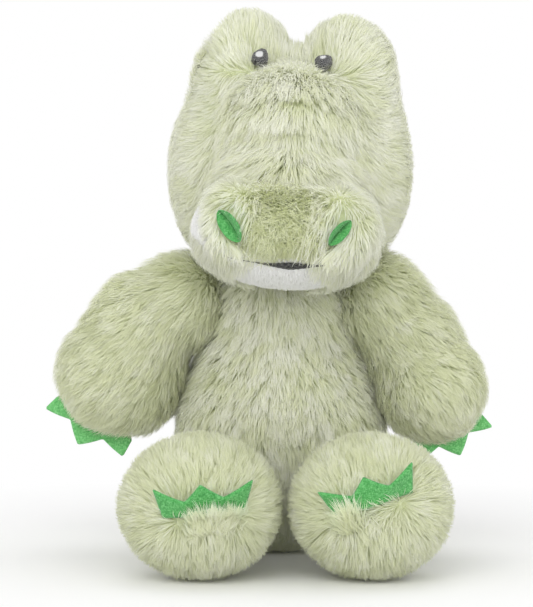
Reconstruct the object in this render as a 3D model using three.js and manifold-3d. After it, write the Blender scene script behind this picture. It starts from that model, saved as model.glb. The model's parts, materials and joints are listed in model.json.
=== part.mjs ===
// A seated plush crocodile in long-pile fur, about 25 cm tall, sewn from stuffed parts.
//
// Units are millimetres. +Z is up, the face looks along -Y, and the origin is on the floor under
// the middle of the toy's outline seen from above. Left and right are the toy's own, so its left
// side is +X.
//
// Every stuffed part is a smooth union of egg-shaped lobes. Its skin is the fur cloth, from the
// tips of the pile to the backing, and its filling lies inside. Each limb starts in a ball that
// sits in a dish in the body, so that it can turn at its seam.

import * as THREE from "three";
import { mergeVertices } from "three/addons/utils/BufferGeometryUtils.js";
import Module from "manifold-3d";

const wasm = await Module();
wasm.setup();

// Cloth, gaps and cutters
const furThickness = 9; // backing and combed pile together
const minkyDrop = 4; // the short white cloth lies this far below the long pile
const feltThickness = 2.2;
const clearance = 0.6; // between a limb's ball and its dish
const sweepClearance = 2.1; // between the rest of a limb and the body that it swings past
const seatGap = 0.35; // between pieces that lie against each other
const restFlat = 0.5; // how deep the floor flattens the feet and the tail
const seatFlat = 1; // and how deep it flattens the heavier seat
const cutterSpan = 400; // longer than the whole toy

// Body: two lobes, one above the other
const belly = { width: 98, depth: 90, height: 116 };
const chest = { width: 66, depth: 64, height: 96, top: 155 };
const bodyBlend = 5;
const pelletBagTop = 28;

// Head, with places given from the base of the neck: out to the side, forward, and up
const neckLength = 45;
const skull = { width: 106, depth: 84, height: 104, forward: -4, up: 74 };
const cheek = { width: 56, depth: 62, height: 88, out: 28, forward: 7, up: 68 };
const brow = { width: 51, depth: 52, height: 70, out: 23, forward: 0, up: 108 };
const bridge = { width: 74, depth: 56, height: 74, forward: 24, up: 82 };
const stop = { width: 72, depth: 84, height: 66, forward: 28, up: 56 };
const snout = { width: 84, depth: 78, height: 48, forward: 54, up: 43 };
const nostrilMound = { width: 35, depth: 36, height: 38, out: 23, forward: 73, up: 46 };
const jaw = { width: 85, depth: 70, height: 44, forward: 48, up: 35 };
const headHeart = { forward: 22, up: 62 };
const headBlend = 3.5;
const headRollDegrees = 3.5;
const shoulderHeadroom = 3.5; // between the top of the arms and the underside of the head

// Mouth: a sloping lip line with white cloth under it, and a sewn black line
const lip = { up: 23.5, forward: 88, slopeDegrees: 50, top: 62 };
const throatForward = 44;
const stitch = { diameter: 1.8, halfLength: 21, drop: 1.4 };
const stitchSteps = 12;
const stitchSides = 8;

// Eyes and nostrils
const eye = { width: 7.8, height: 8.8, thickness: 5, out: 14.2, aside: -2.3, up: 121, sink: 1.6 };
const nostril = { length: 18, width: 9.4, fold: 4, out: 25.5, up: 43, sink: 2.5, tiltDegrees: 38 };

// Arms: a ball at the shoulder, an elbow lobe and a palm lobe. The right arm hangs out from the
// body, and the left arm is bent forward and pressed deeper and narrower.
const shoulder = { diameter: 49, height: 115, standOff: 12, tiltDegrees: 13 };
const rightArm = {
  elbow: { width: 51.5, depth: 54, height: 58.5 },
  palm: { width: 63, depth: 54, height: 62 },
  upper: { length: 24.5, splayDegrees: 55, forwardDegrees: 0 },
  fore: { length: 23, splayDegrees: 26, forwardDegrees: 6 },
  clawTurnDegrees: 31,
};
const leftArm = {
  elbow: { width: 50, depth: 56, height: 50 },
  palm: { width: 52.5, depth: 60, height: 53.5 },
  upper: { length: 24.5, splayDegrees: 37, forwardDegrees: 0 },
  fore: { length: 26, splayDegrees: 23, forwardDegrees: 30 },
  clawTurnDegrees: 23,
};
const armHeartShare = 0.35;
const limbBlend = 4;

// Legs: a ball at the hip, a shin lobe and a round foot
const hip = { diameter: 47, out: 28, height: 31, standOff: 13 };
const shin = { width: 52, depth: 46, height: 48 };
const foot = { width: 73, depth: 66, height: 65.5, reach: 47.5, gap: 2, aside: 2 };
const shinReachShare = 0.68;

// Tail: a ball at the rump, a middle and a tip
const rump = { diameter: 42, height: 27, standOff: 7 };
const tailMiddle = { width: 37, depth: 50, height: 37, reach: 31 };
const tailTip = { width: 22, depth: 40, height: 23, reach: 60 };

// Openings through which the limbs are stuffed, before they are sewn on
const stuffingHole = { armDiameter: 20, legDiameter: 20, tailDiameter: 17 };

// Claws: one felt strip with three points on each hand and foot
const handClaws = { rootDepth: 7, valleyRise: 0.5, pointRise: 7, spreadDegrees: 40 };
const footClaws = { rootDepth: 4, valleyRise: 6.5, pointRise: 13.5, lean: 2.5, spreadDegrees: 36 };
const rightFootClaws = { turnDegrees: 6, rollDegrees: -5, lift: 0 };
const leftFootClaws = { turnDegrees: 1, rollDegrees: -17, lift: 4 };
// Where each point and valley lies along its strip, and how much of a point's rise it has
const handClawShares = [[0, 0], [0.06, 1], [0.28, 0], [0.49, 1], [0.69, 0], [0.9, 1], [1, 0]];
const footClawShares = [[0, 0.9], [0.3, 0], [0.47, 1], [0.7, 0], [1, 0.9]];
// Places along a nostril's leaf from its middle, and how wide it is there
const leafShares = [[-1, 0.06], [-0.8, 0.5], [-0.4, 0.9], [0, 1], [0.4, 0.9], [0.8, 0.5], [1, 0.06]];

// How far an arm swings from rest
const armSwingDegrees = { back: -30, forward: 40 };
const sweepSteps = 4;

// Mesh fineness
const fine = 5;
const plain = 4;
const light = 3;
const coarse = 2;
const ballSegments = 20;
const bisections = 26;

const radians = THREE.MathUtils.degToRad;
const point = (x, y, z) => new THREE.Vector3(x, y, z);
const FRONT = point(0, -1, 0);
const BACK = point(0, 1, 0);
const UP = point(0, 0, 1);
const DOWN = point(0, 0, -1);

// A closed geometry as a manifold solid.
function solid(geometry) {
  const bare = geometry.clone();
  bare.deleteAttribute("normal");
  bare.deleteAttribute("uv");
  const merged = mergeVertices(bare);
  return new wasm.Manifold(
    new wasm.Mesh({
      numProp: 3,
      vertProperties: merged.attributes.position.array,
      triVerts: new Uint32Array(merged.index.array),
    }),
  );
}

// A closed surface through rings of points, all with as many points, and a flat fan at each end.
function lofted(rings) {
  const sides = rings[0].length;
  const places = rings.flat().flatMap((p) => [p.x, p.y, p.z]);
  const faces = [];
  for (let ring = 0; ring + 1 < rings.length; ring += 1)
    for (let side = 0; side < sides; side += 1) {
      const a = ring * sides + side;
      const b = ring * sides + ((side + 1) % sides);
      faces.push(a, b, b + sides, a, b + sides, a + sides);
    }
  const last = (rings.length - 1) * sides;
  for (let side = 1; side + 1 < sides; side += 1) {
    faces.push(0, side + 1, side);
    faces.push(last, last + side, last + side + 1);
  }
  const geometry = new THREE.BufferGeometry();
  geometry.setAttribute("position", new THREE.Float32BufferAttribute(places, 3));
  geometry.setIndex(faces);
  const made = solid(geometry);
  if (made.volume() > 0) return made;
  geometry.setIndex(faces.reverse());
  return solid(geometry);
}

function ball(centre, radius) {
  const sphere = new THREE.SphereGeometry(radius, ballSegments, ballSegments / 2);
  return solid(sphere.translate(centre.x, centre.y, centre.z));
}

// A cylinder that starts at a point and runs along a direction.
function rod(start, direction, radius, length) {
  const cylinder = new THREE.CylinderGeometry(radius, radius, length, ballSegments);
  cylinder.translate(0, length / 2, 0);
  cylinder.applyQuaternion(new THREE.Quaternion().setFromUnitVectors(BACK, direction));
  return solid(cylinder.translate(start.x, start.y, start.z));
}

// Everything on the far side of the plane through a point, along its normal.
function beyond(place, normal) {
  const block = new THREE.BoxGeometry(cutterSpan, cutterSpan, cutterSpan);
  block.translate(0, cutterSpan / 2, 0);
  block.applyQuaternion(new THREE.Quaternion().setFromUnitVectors(BACK, normal));
  return solid(block.translate(place.x, place.y, place.z));
}

// A lobe from its sizes, with its centre in the form's own frame.
function lobe(size, centre) {
  return { centre, radii: point(size.width / 2, size.depth / 2, size.height / 2) };
}

// The ball in which a limb starts, at its own hinge.
function roundLobe(diameter) {
  return lobe({ width: diameter, depth: diameter, height: diameter }, point(0, 0, 0));
}

// The distance from a lobe's surface, below zero inside. It is exact on the surface.
function lobeDistance(at, { centre, radii }) {
  const offset = at.clone().sub(centre);
  const scaled = offset.clone().divide(radii);
  const steep = scaled.clone().divide(radii).length();
  if (steep === 0) return -Math.min(radii.x, radii.y, radii.z);
  return (scaled.length() * (scaled.length() - 1)) / steep;
}

// The distance from a form's surface: its lobes joined by an exponential smooth minimum.
function formDistance(at, form) {
  const local = at.clone().sub(form.pivot).applyAxisAngle(BACK, -form.roll);
  const weights = form.lobes.map((one) => Math.exp(-lobeDistance(local, one) / form.blend));
  return -form.blend * Math.log(weights.reduce((sum, weight) => sum + weight));
}

// The point where a ray from inside a form meets the surface that lies an inset below its own.
function surfaceAlong(form, from, direction, inset) {
  let inside = 0;
  let outside = cutterSpan;
  for (let step = 0; step < bisections; step += 1) {
    const middle = (inside + outside) / 2;
    const at = from.clone().addScaledVector(direction, middle);
    if (formDistance(at, form) + inset < 0) inside = middle;
    else outside = middle;
  }
  return from.clone().addScaledVector(direction, inside);
}

// The outward direction of a form's surface near a point.
function normalAt(form, at) {
  const reach = form.blend / form.lobes.length;
  const slope = (axis) =>
    formDistance(at.clone().addScaledVector(axis, reach), form) -
    formDistance(at.clone().addScaledVector(axis, -reach), form);
  return point(slope(point(1, 0, 0)), slope(BACK), slope(UP)).normalize();
}

// A point given in a form's own frame, in the toy's frame.
function placed(form, local) {
  return local.clone().applyAxisAngle(BACK, form.roll).add(form.pivot);
}

// The closed shell of a form: rays go out from its heart through the corners of an icosphere.
function formShell(form, inset, detail) {
  const sphere = new THREE.IcosahedronGeometry(1, detail);
  sphere.deleteAttribute("normal");
  sphere.deleteAttribute("uv");
  const shell = mergeVertices(sphere);
  const corners = shell.attributes.position;
  const heart = placed(form, form.heart);
  for (let corner = 0; corner < corners.count; corner += 1) {
    const way = new THREE.Vector3().fromBufferAttribute(corners, corner).multiply(form.spread);
    const at = surfaceAlong(form, heart, way.applyAxisAngle(BACK, form.roll).normalize(), inset);
    corners.setXYZ(corner, at.x, at.y, at.z);
  }
  return shell;
}

function formSolid(form, inset, detail) {
  return solid(formShell(form, inset, detail));
}

function dish(centre, size) {
  return ball(centre, size / 2 + clearance);
}

// What a limb gives way to beyond its own ball: the body, turned about the limb's hinge to each
// angle that the limb takes.
function sweptBody(hinge, ballDiameter, range) {
  const { pivot, axis } = hinge;
  const [from, to] = Object.values(range).map(radians);
  const shell = formShell(body, -sweepClearance, coarse);
  let room = null;
  for (let step = 0; step <= sweepSteps; step += 1) {
    const angle = from + ((to - from) * step) / sweepSteps;
    const turned = shell.clone().translate(-pivot.x, -pivot.y, -pivot.z);
    turned.applyQuaternion(new THREE.Quaternion().setFromAxisAngle(axis, -angle));
    const here = solid(turned.translate(pivot.x, pivot.y, pivot.z));
    room = room === null ? here : room.add(here);
  }
  return room.subtract(ball(pivot, ballDiameter / 2));
}

// Body form, and the pivots that its surface gives

const body = {
  pivot: point(0, 0, 0),
  roll: 0,
  heart: point(0, 0, belly.height / 2 + belly.height / 4),
  spread: point(belly.width, belly.depth, chest.top),
  blend: bodyBlend,
  lobes: [
    lobe(belly, point(0, 0, belly.height / 2 - seatFlat)),
    lobe(chest, point(0, 0, chest.top - chest.height / 2)),
  ],
};
const neckTop = surfaceAlong(body, body.heart, UP, 0);
const neckPivot = point(0, 0, neckTop.z - neckLength);

// An arm's hinge leans up, so the arm swings along the sloping side of the body. All hinges of
// arms and legs point to the toy's right, so that a positive turn lifts the limb forward.
function shoulderFor(side) {
  const tilt = radians(shoulder.tiltDegrees);
  const outward = point(side * Math.cos(tilt), 0, Math.sin(tilt));
  const seam = surfaceAlong(body, point(0, 0, shoulder.height), point(side, 0, 0), 0);
  const pivot = seam.clone().addScaledVector(outward, shoulder.standOff);
  return { seam, pivot, axis: outward.clone().multiplyScalar(-side) };
}

function hipFor(side) {
  const seam = surfaceAlong(body, point(side * hip.out, 0, hip.height), FRONT, 0);
  const pivot = seam.clone().addScaledVector(FRONT, hip.standOff);
  return { seam, pivot, axis: point(-1, 0, 0) };
}

const sides = { right: -1, left: 1 };
const shoulders = { right: shoulderFor(sides.right), left: shoulderFor(sides.left) };
const hips = { right: hipFor(sides.right), left: hipFor(sides.left) };
const rumpSeam = surfaceAlong(body, point(0, 0, rump.height), BACK, 0);
const rumpPivot = rumpSeam.clone().addScaledVector(BACK, rump.standOff);
const rumpHinge = { seam: rumpSeam, pivot: rumpPivot, axis: UP };

// Arm, leg, tail and head forms

function armForm(name) {
  const side = sides[name];
  const arm = name === "right" ? rightArm : leftArm;
  const bone = ({ length, splayDegrees, forwardDegrees }) => {
    const splay = radians(splayDegrees);
    const down = point(side * Math.sin(splay), 0, -Math.cos(splay));
    return down.applyAxisAngle(point(-1, 0, 0), radians(forwardDegrees)).multiplyScalar(length);
  };
  const atElbow = bone(arm.upper);
  const atPalm = bone(arm.fore).add(atElbow);
  const wholeLength = arm.upper.length + arm.fore.length + arm.palm.height;
  return {
    pivot: shoulders[name].pivot,
    roll: 0,
    heart: atElbow.clone().lerp(atPalm, armHeartShare),
    spread: point(arm.elbow.width, arm.elbow.depth, wholeLength),
    blend: limbBlend,
    lobes: [roundLobe(shoulder.diameter), lobe(arm.elbow, atElbow), lobe(arm.palm, atPalm)],
    palm: atPalm,
    clawTurn: arm.clawTurnDegrees,
  };
}

function legForm(name) {
  const side = sides[name];
  const { pivot } = hips[name];
  const footOut = foot.gap / 2 + foot.width / 2 - hip.out;
  const footUp = foot.height / 2 - restFlat - hip.height;
  const atFoot = point(side * footOut + foot.aside, -foot.reach, footUp);
  return {
    pivot,
    roll: 0,
    heart: atFoot.clone().multiplyScalar(shinReachShare),
    spread: point(foot.width, foot.reach + foot.depth, foot.height),
    blend: limbBlend,
    lobes: [
      roundLobe(hip.diameter),
      lobe(shin, atFoot.clone().multiplyScalar(shinReachShare)),
      lobe(foot, atFoot),
    ],
    foot: atFoot,
    claws: name === "right" ? rightFootClaws : leftFootClaws,
  };
}

const tailMiddleUp = tailMiddle.height / 2 - restFlat - rump.height;
const tail = {
  pivot: rumpHinge.pivot,
  roll: 0,
  heart: point(0, tailMiddle.reach, tailMiddleUp),
  spread: point(tailMiddle.width, tailTip.reach + tailTip.depth, tailMiddle.height),
  blend: limbBlend,
  lobes: [
    roundLobe(rump.diameter),
    lobe(tailMiddle, point(0, tailMiddle.reach, tailMiddleUp)),
    lobe(tailTip, point(0, tailTip.reach, tailTip.height / 2 - rump.height)),
  ],
};

function pair(size) {
  return [-1, 1].map((side) => lobe(size, point(side * size.out, -size.forward, size.up)));
}

const head = {
  pivot: neckPivot,
  roll: radians(headRollDegrees),
  heart: point(0, -headHeart.forward, headHeart.up),
  spread: point(skull.width, skull.depth, skull.height),
  blend: headBlend,
  lobes: [
    lobe(skull, point(0, -skull.forward, skull.up)),
    lobe(bridge, point(0, -bridge.forward, bridge.up)),
    lobe(stop, point(0, -stop.forward, stop.up)),
    lobe(snout, point(0, -snout.forward, snout.up)),
    lobe(jaw, point(0, -jaw.forward, jaw.up)),
    ...pair(cheek),
    ...pair(brow),
    ...pair(nostrilMound),
  ],
};

const arms = { right: armForm("right"), left: armForm("left") };
const legs = { right: legForm("right"), left: legForm("left") };

// The lip line runs over the snout in a plane that climbs towards the cheeks.
const lipSlope = radians(lip.slopeDegrees);
const lipPlace = point(0, -lip.forward, lip.up);
const lipRise = (lip.forward - throatForward) * Math.tan(lipSlope);
const lipBack = point(0, -throatForward, lip.up + lipRise);
const lipDown = point(0, Math.sin(lipSlope), -Math.cos(lipSlope)).applyAxisAngle(BACK, head.roll);

// Solids that the neighbours of a form are cut by

const floorAndBelow = beyond(point(0, 0, 0), DOWN);
const neckRadius = Math.max(chest.width, chest.depth) / 2;
const neckDish = ball(neckTop.clone().addScaledVector(DOWN, neckRadius), neckRadius + clearance);
const limbDishes = [
  dish(shoulders.right.pivot, shoulder.diameter),
  dish(shoulders.left.pivot, shoulder.diameter),
  dish(hips.right.pivot, hip.diameter),
  dish(hips.left.pivot, hip.diameter),
  dish(rumpHinge.pivot, rump.diameter),
];

function without(whole, cutters) {
  return cutters.reduce((left, cutter) => left.subtract(cutter), whole);
}

// A form's cloth, from the tips of its pile to its backing, cut flat where it rests.
function skinOf(form, outerDetail, innerDetail) {
  const inside = formSolid(form, furThickness, innerDetail);
  return without(formSolid(form, 0, outerDetail), [floorAndBelow, inside]);
}

function fillingOf(form, detail) {
  return formSolid(form, furThickness + seatGap, detail);
}

function bodyPieces() {
  const stuffing = without(fillingOf(body, coarse), limbDishes);
  return {
    body_skin: without(skinOf(body, plain, coarse), limbDishes),
    body_filling: stuffing.subtract(beyond(point(0, 0, pelletBagTop + seatGap), DOWN)),
    pellet_bag: stuffing.subtract(beyond(point(0, 0, pelletBagTop), UP)),
  };
}

// A limb's cloth and filling: its ball is open towards the body, where it was stuffed.
function limbPieces(name, form, limb) {
  const { hinge, ballDiameter, holeDiameter, range, detail } = limb;
  const toBody = hinge.seam.clone().sub(hinge.pivot).normalize();
  const hole = rod(hinge.pivot, toBody, holeDiameter / 2, cutterSpan);
  const rooms = range ? [sweptBody(hinge, ballDiameter, range)] : [];
  return {
    [`${name}_skin`]: without(skinOf(form, detail, coarse), [hole, ...rooms]),
    [`${name}_filling`]: without(fillingOf(form, coarse), rooms),
  };
}

// A felt strip through stations, each with a root, a tip and the way of its thickness. The
// margin widens it on every side, for the pocket that it is sewn into.
function feltStrip(stations, margin) {
  const ends = [stations[0], stations[stations.length - 1]];
  const along = ends[1].root.clone().sub(ends[0].root).normalize();
  const rings = stations.map(({ root, tip, thick }, index) => {
    const rise = tip.clone().sub(root).normalize().multiplyScalar(margin);
    const end = ends.indexOf(stations[index]);
    const slide = end < 0 ? 0 : margin * (2 * end - 1);
    const half = thick.clone().multiplyScalar(feltThickness / 2 + margin);
    const low = root.clone().sub(rise).addScaledVector(along, slide);
    const high = tip.clone().add(rise).addScaledVector(along, slide);
    return [
      low.clone().sub(half),
      high.clone().sub(half),
      high.clone().add(half),
      low.clone().add(half),
    ];
  });
  return lofted(rings);
}

// The claws of a hand stand out round the palm's rim.
function handStations(name) {
  const form = arms[name];
  const side = sides[name];
  const centre = placed(form, form.palm);
  return handClawShares.map(([place, riseShare]) => {
    const turned = form.clawTurn + handClaws.spreadDegrees * (1 - 2 * place);
    const angle = radians(turned);
    const out = point(side * Math.sin(angle), 0, -Math.cos(angle));
    const rim = surfaceAlong(form, centre, out, 0);
    const rise = riseShare === 0 ? handClaws.valleyRise : handClaws.pointRise * riseShare;
    return {
      root: rim.clone().addScaledVector(out, -handClaws.rootDepth),
      tip: rim.clone().addScaledVector(out, rise),
      thick: FRONT,
    };
  });
}

// The claws of a foot are sewn into the toe seam and bent up in front of the sole.
function footStations(name) {
  const form = legs[name];
  const roll = radians(form.claws.rollDegrees);
  const centre = placed(form, form.foot).addScaledVector(UP, form.claws.lift);
  const up = UP.clone().applyAxisAngle(BACK, roll);
  return footClawShares.map(([place, riseShare]) => {
    const angle = radians(form.claws.turnDegrees + footClaws.spreadDegrees * (2 * place - 1));
    const out = point(Math.sin(angle), -Math.cos(angle), 0).applyAxisAngle(BACK, roll);
    const seam = surfaceAlong(form, centre, out, 0);
    const root = seam.clone().addScaledVector(out, -footClaws.rootDepth);
    const rise = riseShare === 0 ? footClaws.valleyRise : footClaws.pointRise * riseShare;
    const lean = (footClaws.lean * rise) / footClaws.pointRise;
    const tip = seam.clone().addScaledVector(up, rise).addScaledVector(out, lean);
    const across = new THREE.Vector3().crossVectors(up, out);
    const thick = tip.clone().sub(root).normalize().cross(across).normalize();
    return { root, tip, thick };
  });
}

// Head details

// What lies under the sloping lip line, under its upper end and in front of the throat.
function chinRegion(margin) {
  const onLip = placed(head, lipPlace).addScaledVector(lipDown, -margin);
  const throat = placed(head, point(0, margin - throatForward, 0));
  const top = placed(head, point(0, 0, lip.top + margin));
  return beyond(onLip, lipDown).intersect(beyond(throat, FRONT)).intersect(beyond(top, DOWN));
}

// The hollow under the head, behind the throat, that clears the shoulders when the head turns.
function shoulderRoom() {
  const top = shoulders.left.pivot.z + shoulder.diameter / 2 + shoulderHeadroom;
  const behindThroat = beyond(point(0, -throatForward, 0), BACK);
  return beyond(point(0, 0, top), DOWN).intersect(behindThroat);
}

// An oval plug at an eye, from a depth under the pile's tips out to another.
function eyePlug(side, margin, deep, shallow) {
  const start = placed(head, point(side * eye.out + eye.aside, 0, eye.up));
  const at = surfaceAlong(head, start, FRONT, 0);
  const oval = new THREE.CylinderGeometry(1, 1, deep - shallow, ballSegments);
  oval.translate(0, (deep + shallow) / 2, 0);
  oval.scale(eye.width / 2 + margin, 1, eye.height / 2 + margin);
  oval.applyQuaternion(new THREE.Quaternion().setFromUnitVectors(FRONT, normalAt(head, at)));
  return solid(oval.translate(at.x, at.y, at.z));
}

// The felt leaf that lines a nostril, folded down its middle, and with a lift also all the space
// in front of it.
function nostrilLeaf(side, margin, lift) {
  const tilt = radians(nostril.tiltDegrees);
  const start = placed(head, point(side * nostril.out, -snout.forward, nostril.up));
  const at = surfaceAlong(head, start, FRONT, nostril.sink);
  const out = normalAt(head, at);
  const along = point(side * Math.sin(tilt), 0, Math.cos(tilt)).applyAxisAngle(BACK, head.roll);
  along.addScaledVector(out, -along.dot(out)).normalize();
  const across = new THREE.Vector3().crossVectors(along, out);
  const rings = leafShares.map(([place, swell]) => {
    const middle = at.clone().addScaledVector(along, (nostril.length / 2 + margin) * place);
    const half = (nostril.width / 2) * swell + margin;
    const under = -feltThickness - margin;
    const fold = -nostril.fold * swell;
    const corner = (sideways, outward) =>
      middle.clone().addScaledVector(across, sideways).addScaledVector(out, outward);
    return [
      corner(0, under + fold),
      corner(half, under),
      corner(half, lift),
      corner(0, lift > 0 ? lift : fold),
      corner(-half, lift),
      corner(-half, under),
    ];
  });
  return lofted(rings);
}

// The sewn line of the mouth, on the white cloth just under the lip.
function mouthStitch() {
  const heart = placed(head, lipBack).addScaledVector(lipDown, stitch.drop + stitch.diameter / 2);
  const ahead = point(0, -Math.cos(lipSlope), -Math.sin(lipSlope)).applyAxisAngle(BACK, head.roll);
  const inset = minkyDrop - seatGap - stitch.diameter / 2;
  const reach = surfaceAlong(head, heart, ahead, inset).distanceTo(heart);
  const spread = stitch.halfLength / reach;
  const spots = [];
  for (let step = 0; step <= stitchSteps; step += 1) {
    const angle = spread * ((2 * step) / stitchSteps - 1);
    const way = ahead.clone().applyAxisAngle(lipDown, angle);
    spots.push(surfaceAlong(head, heart, way, inset));
  }
  const rings = spots.map((spot, index) => {
    const before = spots[Math.max(index - 1, 0)];
    const after = spots[Math.min(index + 1, spots.length - 1)];
    const along = after.clone().sub(before).normalize();
    const ring = [];
    for (let corner = 0; corner < stitchSides; corner += 1) {
      const turn = (2 * Math.PI * corner) / stitchSides;
      const out = lipDown.clone().applyAxisAngle(along, turn);
      ring.push(spot.clone().addScaledVector(out, stitch.diameter / 2));
    }
    return ring;
  });
  return lofted(rings);
}

function headPieces() {
  const bottom = [neckDish, shoulderRoom()];
  const pieces = {};
  const pockets = [];
  for (const [name, side] of Object.entries(sides)) {
    const deep = eye.sink + eye.thickness;
    pieces[`${name}_eye`] = eyePlug(side, 0, deep, eye.sink);
    pieces[`${name}_nostril`] = nostrilLeaf(side, 0, 0);
    pockets.push(eyePlug(side, seatGap, deep + seatGap, -furThickness));
    pockets.push(nostrilLeaf(side, seatGap, furThickness));
  }
  const inside = formSolid(head, furThickness, light);
  const outside = formSolid(head, 0, fine);
  const whiteOutside = formSolid(head, minkyDrop, fine);
  pieces.head_skin = without(outside, [inside, ...bottom, chinRegion(0), ...pockets]);
  pieces.chin_panel = without(whiteOutside.intersect(chinRegion(-seatGap)), [inside, ...bottom]);
  pieces.head_filling = without(fillingOf(head, light), [...bottom, ...pockets]);
  pieces.mouth_stitch = mouthStitch();
  return pieces;
}

// The toy

const paints = {
  fur: { color: 0xc3cba0, roughness: 0.95, metalness: 0 },
  white_pile: { color: 0xecebe4, roughness: 0.95, metalness: 0 },
  felt: { color: 0x5ab969, roughness: 0.9, metalness: 0 },
  thread: { color: 0x2f2f30, roughness: 0.6, metalness: 0 },
  filling: { color: 0xf2f2ee, roughness: 1, metalness: 0 },
  pellets: { color: 0xd9d4c4, roughness: 0.8, metalness: 0 },
};

function paintFor(name) {
  if (name.endsWith("claws") || name.endsWith("nostril")) return paints.felt;
  if (name.endsWith("eye") || name.endsWith("stitch")) return paints.thread;
  if (name.endsWith("filling")) return paints.filling;
  if (name.startsWith("pellet")) return paints.pellets;
  return name.startsWith("chin") ? paints.white_pile : paints.fur;
}

function meshOf(name, made) {
  const { vertProperties, triVerts } = made.getMesh();
  const geometry = new THREE.BufferGeometry();
  geometry.setAttribute("position", new THREE.BufferAttribute(vertProperties, 3));
  geometry.setIndex(new THREE.BufferAttribute(triVerts, 1));
  geometry.computeVertexNormals();
  const mesh = new THREE.Mesh(geometry, new THREE.MeshStandardMaterial(paintFor(name)));
  mesh.name = name;
  return mesh;
}

function groupOf(pieces) {
  const group = new THREE.Group();
  for (const [name, made] of Object.entries(pieces)) group.add(meshOf(name, made));
  return group;
}

// A limb's cloth, filling and felt claws, whose strip goes through the cloth into a pocket.
function limbGroup(name, form, limb, clawName, stations) {
  const pieces = limbPieces(name, form, limb);
  if (stations) {
    const pocket = feltStrip(stations, seatGap);
    for (const key of Object.keys(pieces)) pieces[key] = pieces[key].subtract(pocket);
    pieces[clawName] = feltStrip(stations, 0);
  }
  return groupOf(pieces);
}

function toyGroup() {
  const toy = new THREE.Group();
  toy.add(groupOf(bodyPieces()), groupOf(headPieces()));
  for (const name of Object.keys(sides)) {
    const arm = {
      hinge: shoulders[name],
      ballDiameter: shoulder.diameter,
      holeDiameter: stuffingHole.armDiameter,
      range: armSwingDegrees,
      detail: plain,
    };
    const leg = {
      hinge: hips[name],
      ballDiameter: hip.diameter,
      holeDiameter: stuffingHole.legDiameter,
      detail: plain,
    };
    toy.add(limbGroup(`${name}_arm`, arms[name], arm, `${name}_hand_claws`, handStations(name)));
    toy.add(limbGroup(`${name}_leg`, legs[name], leg, `${name}_foot_claws`, footStations(name)));
  }
  const rumpLimb = {
    hinge: rumpHinge,
    ballDiameter: rump.diameter,
    holeDiameter: stuffingHole.tailDiameter,
    detail: light,
  };
  toy.add(limbGroup("tail", tail, rumpLimb));
  const middle = new THREE.Box3().setFromObject(toy).getCenter(new THREE.Vector3());
  toy.position.set(-middle.x, -middle.y, 0);
  return toy;
}

export default toyGroup();
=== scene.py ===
"""The look of a seated plush crocodile in long pale green fur, over its fixed solids.

Every stuffed part is a smooth union of egg-shaped lobes, the same as in the solids. Its cloth is a
closed surface a little inside that form, and its pile is grown from the cloth as flat tapered
strands, gathered in tufts and combed along a field of directions. Lengths are in millimetres
until a mesh is made, and +Z is up, with the face towards -Y and the toy's own left at +X.
"""

import json
import logging
import math
from dataclasses import dataclass, field
from enum import Enum
from typing import Callable, Sequence

import bpy
import numpy as np
from numpy.typing import NDArray
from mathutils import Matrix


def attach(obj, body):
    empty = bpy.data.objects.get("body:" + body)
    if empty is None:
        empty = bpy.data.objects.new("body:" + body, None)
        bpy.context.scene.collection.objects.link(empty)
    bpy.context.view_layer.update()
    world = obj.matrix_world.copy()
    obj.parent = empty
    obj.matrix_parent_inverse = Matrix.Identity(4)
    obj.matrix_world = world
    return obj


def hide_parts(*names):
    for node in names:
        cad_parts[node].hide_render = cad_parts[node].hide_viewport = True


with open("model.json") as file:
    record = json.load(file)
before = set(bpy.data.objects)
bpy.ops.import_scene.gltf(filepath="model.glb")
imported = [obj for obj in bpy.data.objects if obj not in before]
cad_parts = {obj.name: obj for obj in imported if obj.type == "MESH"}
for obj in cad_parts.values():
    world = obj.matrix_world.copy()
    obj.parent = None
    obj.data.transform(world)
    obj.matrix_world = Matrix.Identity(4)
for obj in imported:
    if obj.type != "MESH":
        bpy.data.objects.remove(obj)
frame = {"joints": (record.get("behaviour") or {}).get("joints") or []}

Array = NDArray[np.float64]
Triple = tuple[float, float, float]
Colour = tuple[int, int, int]
Field = Callable[[Array, Array], Array]
Weight = Callable[[Array], Array]

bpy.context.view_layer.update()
MM = 0.001
UP = np.array([0.0, 0.0, 1.0])
FRONT = np.array([0.0, -1.0, 0.0])
log = logging.getLogger("plush")


class Side(Enum):
    """The toy's own sides, with the sign of their X."""

    RIGHT = -1
    LEFT = 1

    @property
    def word(self) -> str:
        """The side's name as the solids' names have it."""
        return self.name.lower()


# Arithmetic on arrays of points


def unit(rows: Array) -> Array:
    """Vectors in the last axis scaled to a length of one."""
    return rows / np.maximum(np.linalg.norm(rows, axis=-1, keepdims=True), 1e-9)


def dot(a: Array, b: Array) -> Array:
    """The dot product of matching rows, kept as a column."""
    return (a * b).sum(-1, keepdims=True)


def smooth(low: float, high: float, value: Array) -> Array:
    """A smooth step of a value: 0 up to low, 1 from high, and 3t² - 2t³ between them."""
    t = np.clip((value - low) / (high - low), 0.0, 1.0)
    return t * t * (3.0 - 2.0 * t)


def turned(rows: Array, axis: Array, degrees: Array | float) -> Array:
    """Rows turned about an axis by the right hand: v cos + (k x v) sin + k (k.v)(1 - cos).

    Args:
        rows: Vectors to turn.
        axis: One axis, or one for each row, of length one.
        degrees: One angle, or a column with one for each row.

    Returns:
        The turned vectors.
    """
    angle = np.radians(degrees)
    k = np.broadcast_to(axis, rows.shape)
    return rows * np.cos(angle) + np.cross(k, rows) * np.sin(angle) + k * dot(k, rows) * (
        1.0 - np.cos(angle)
    )


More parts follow.
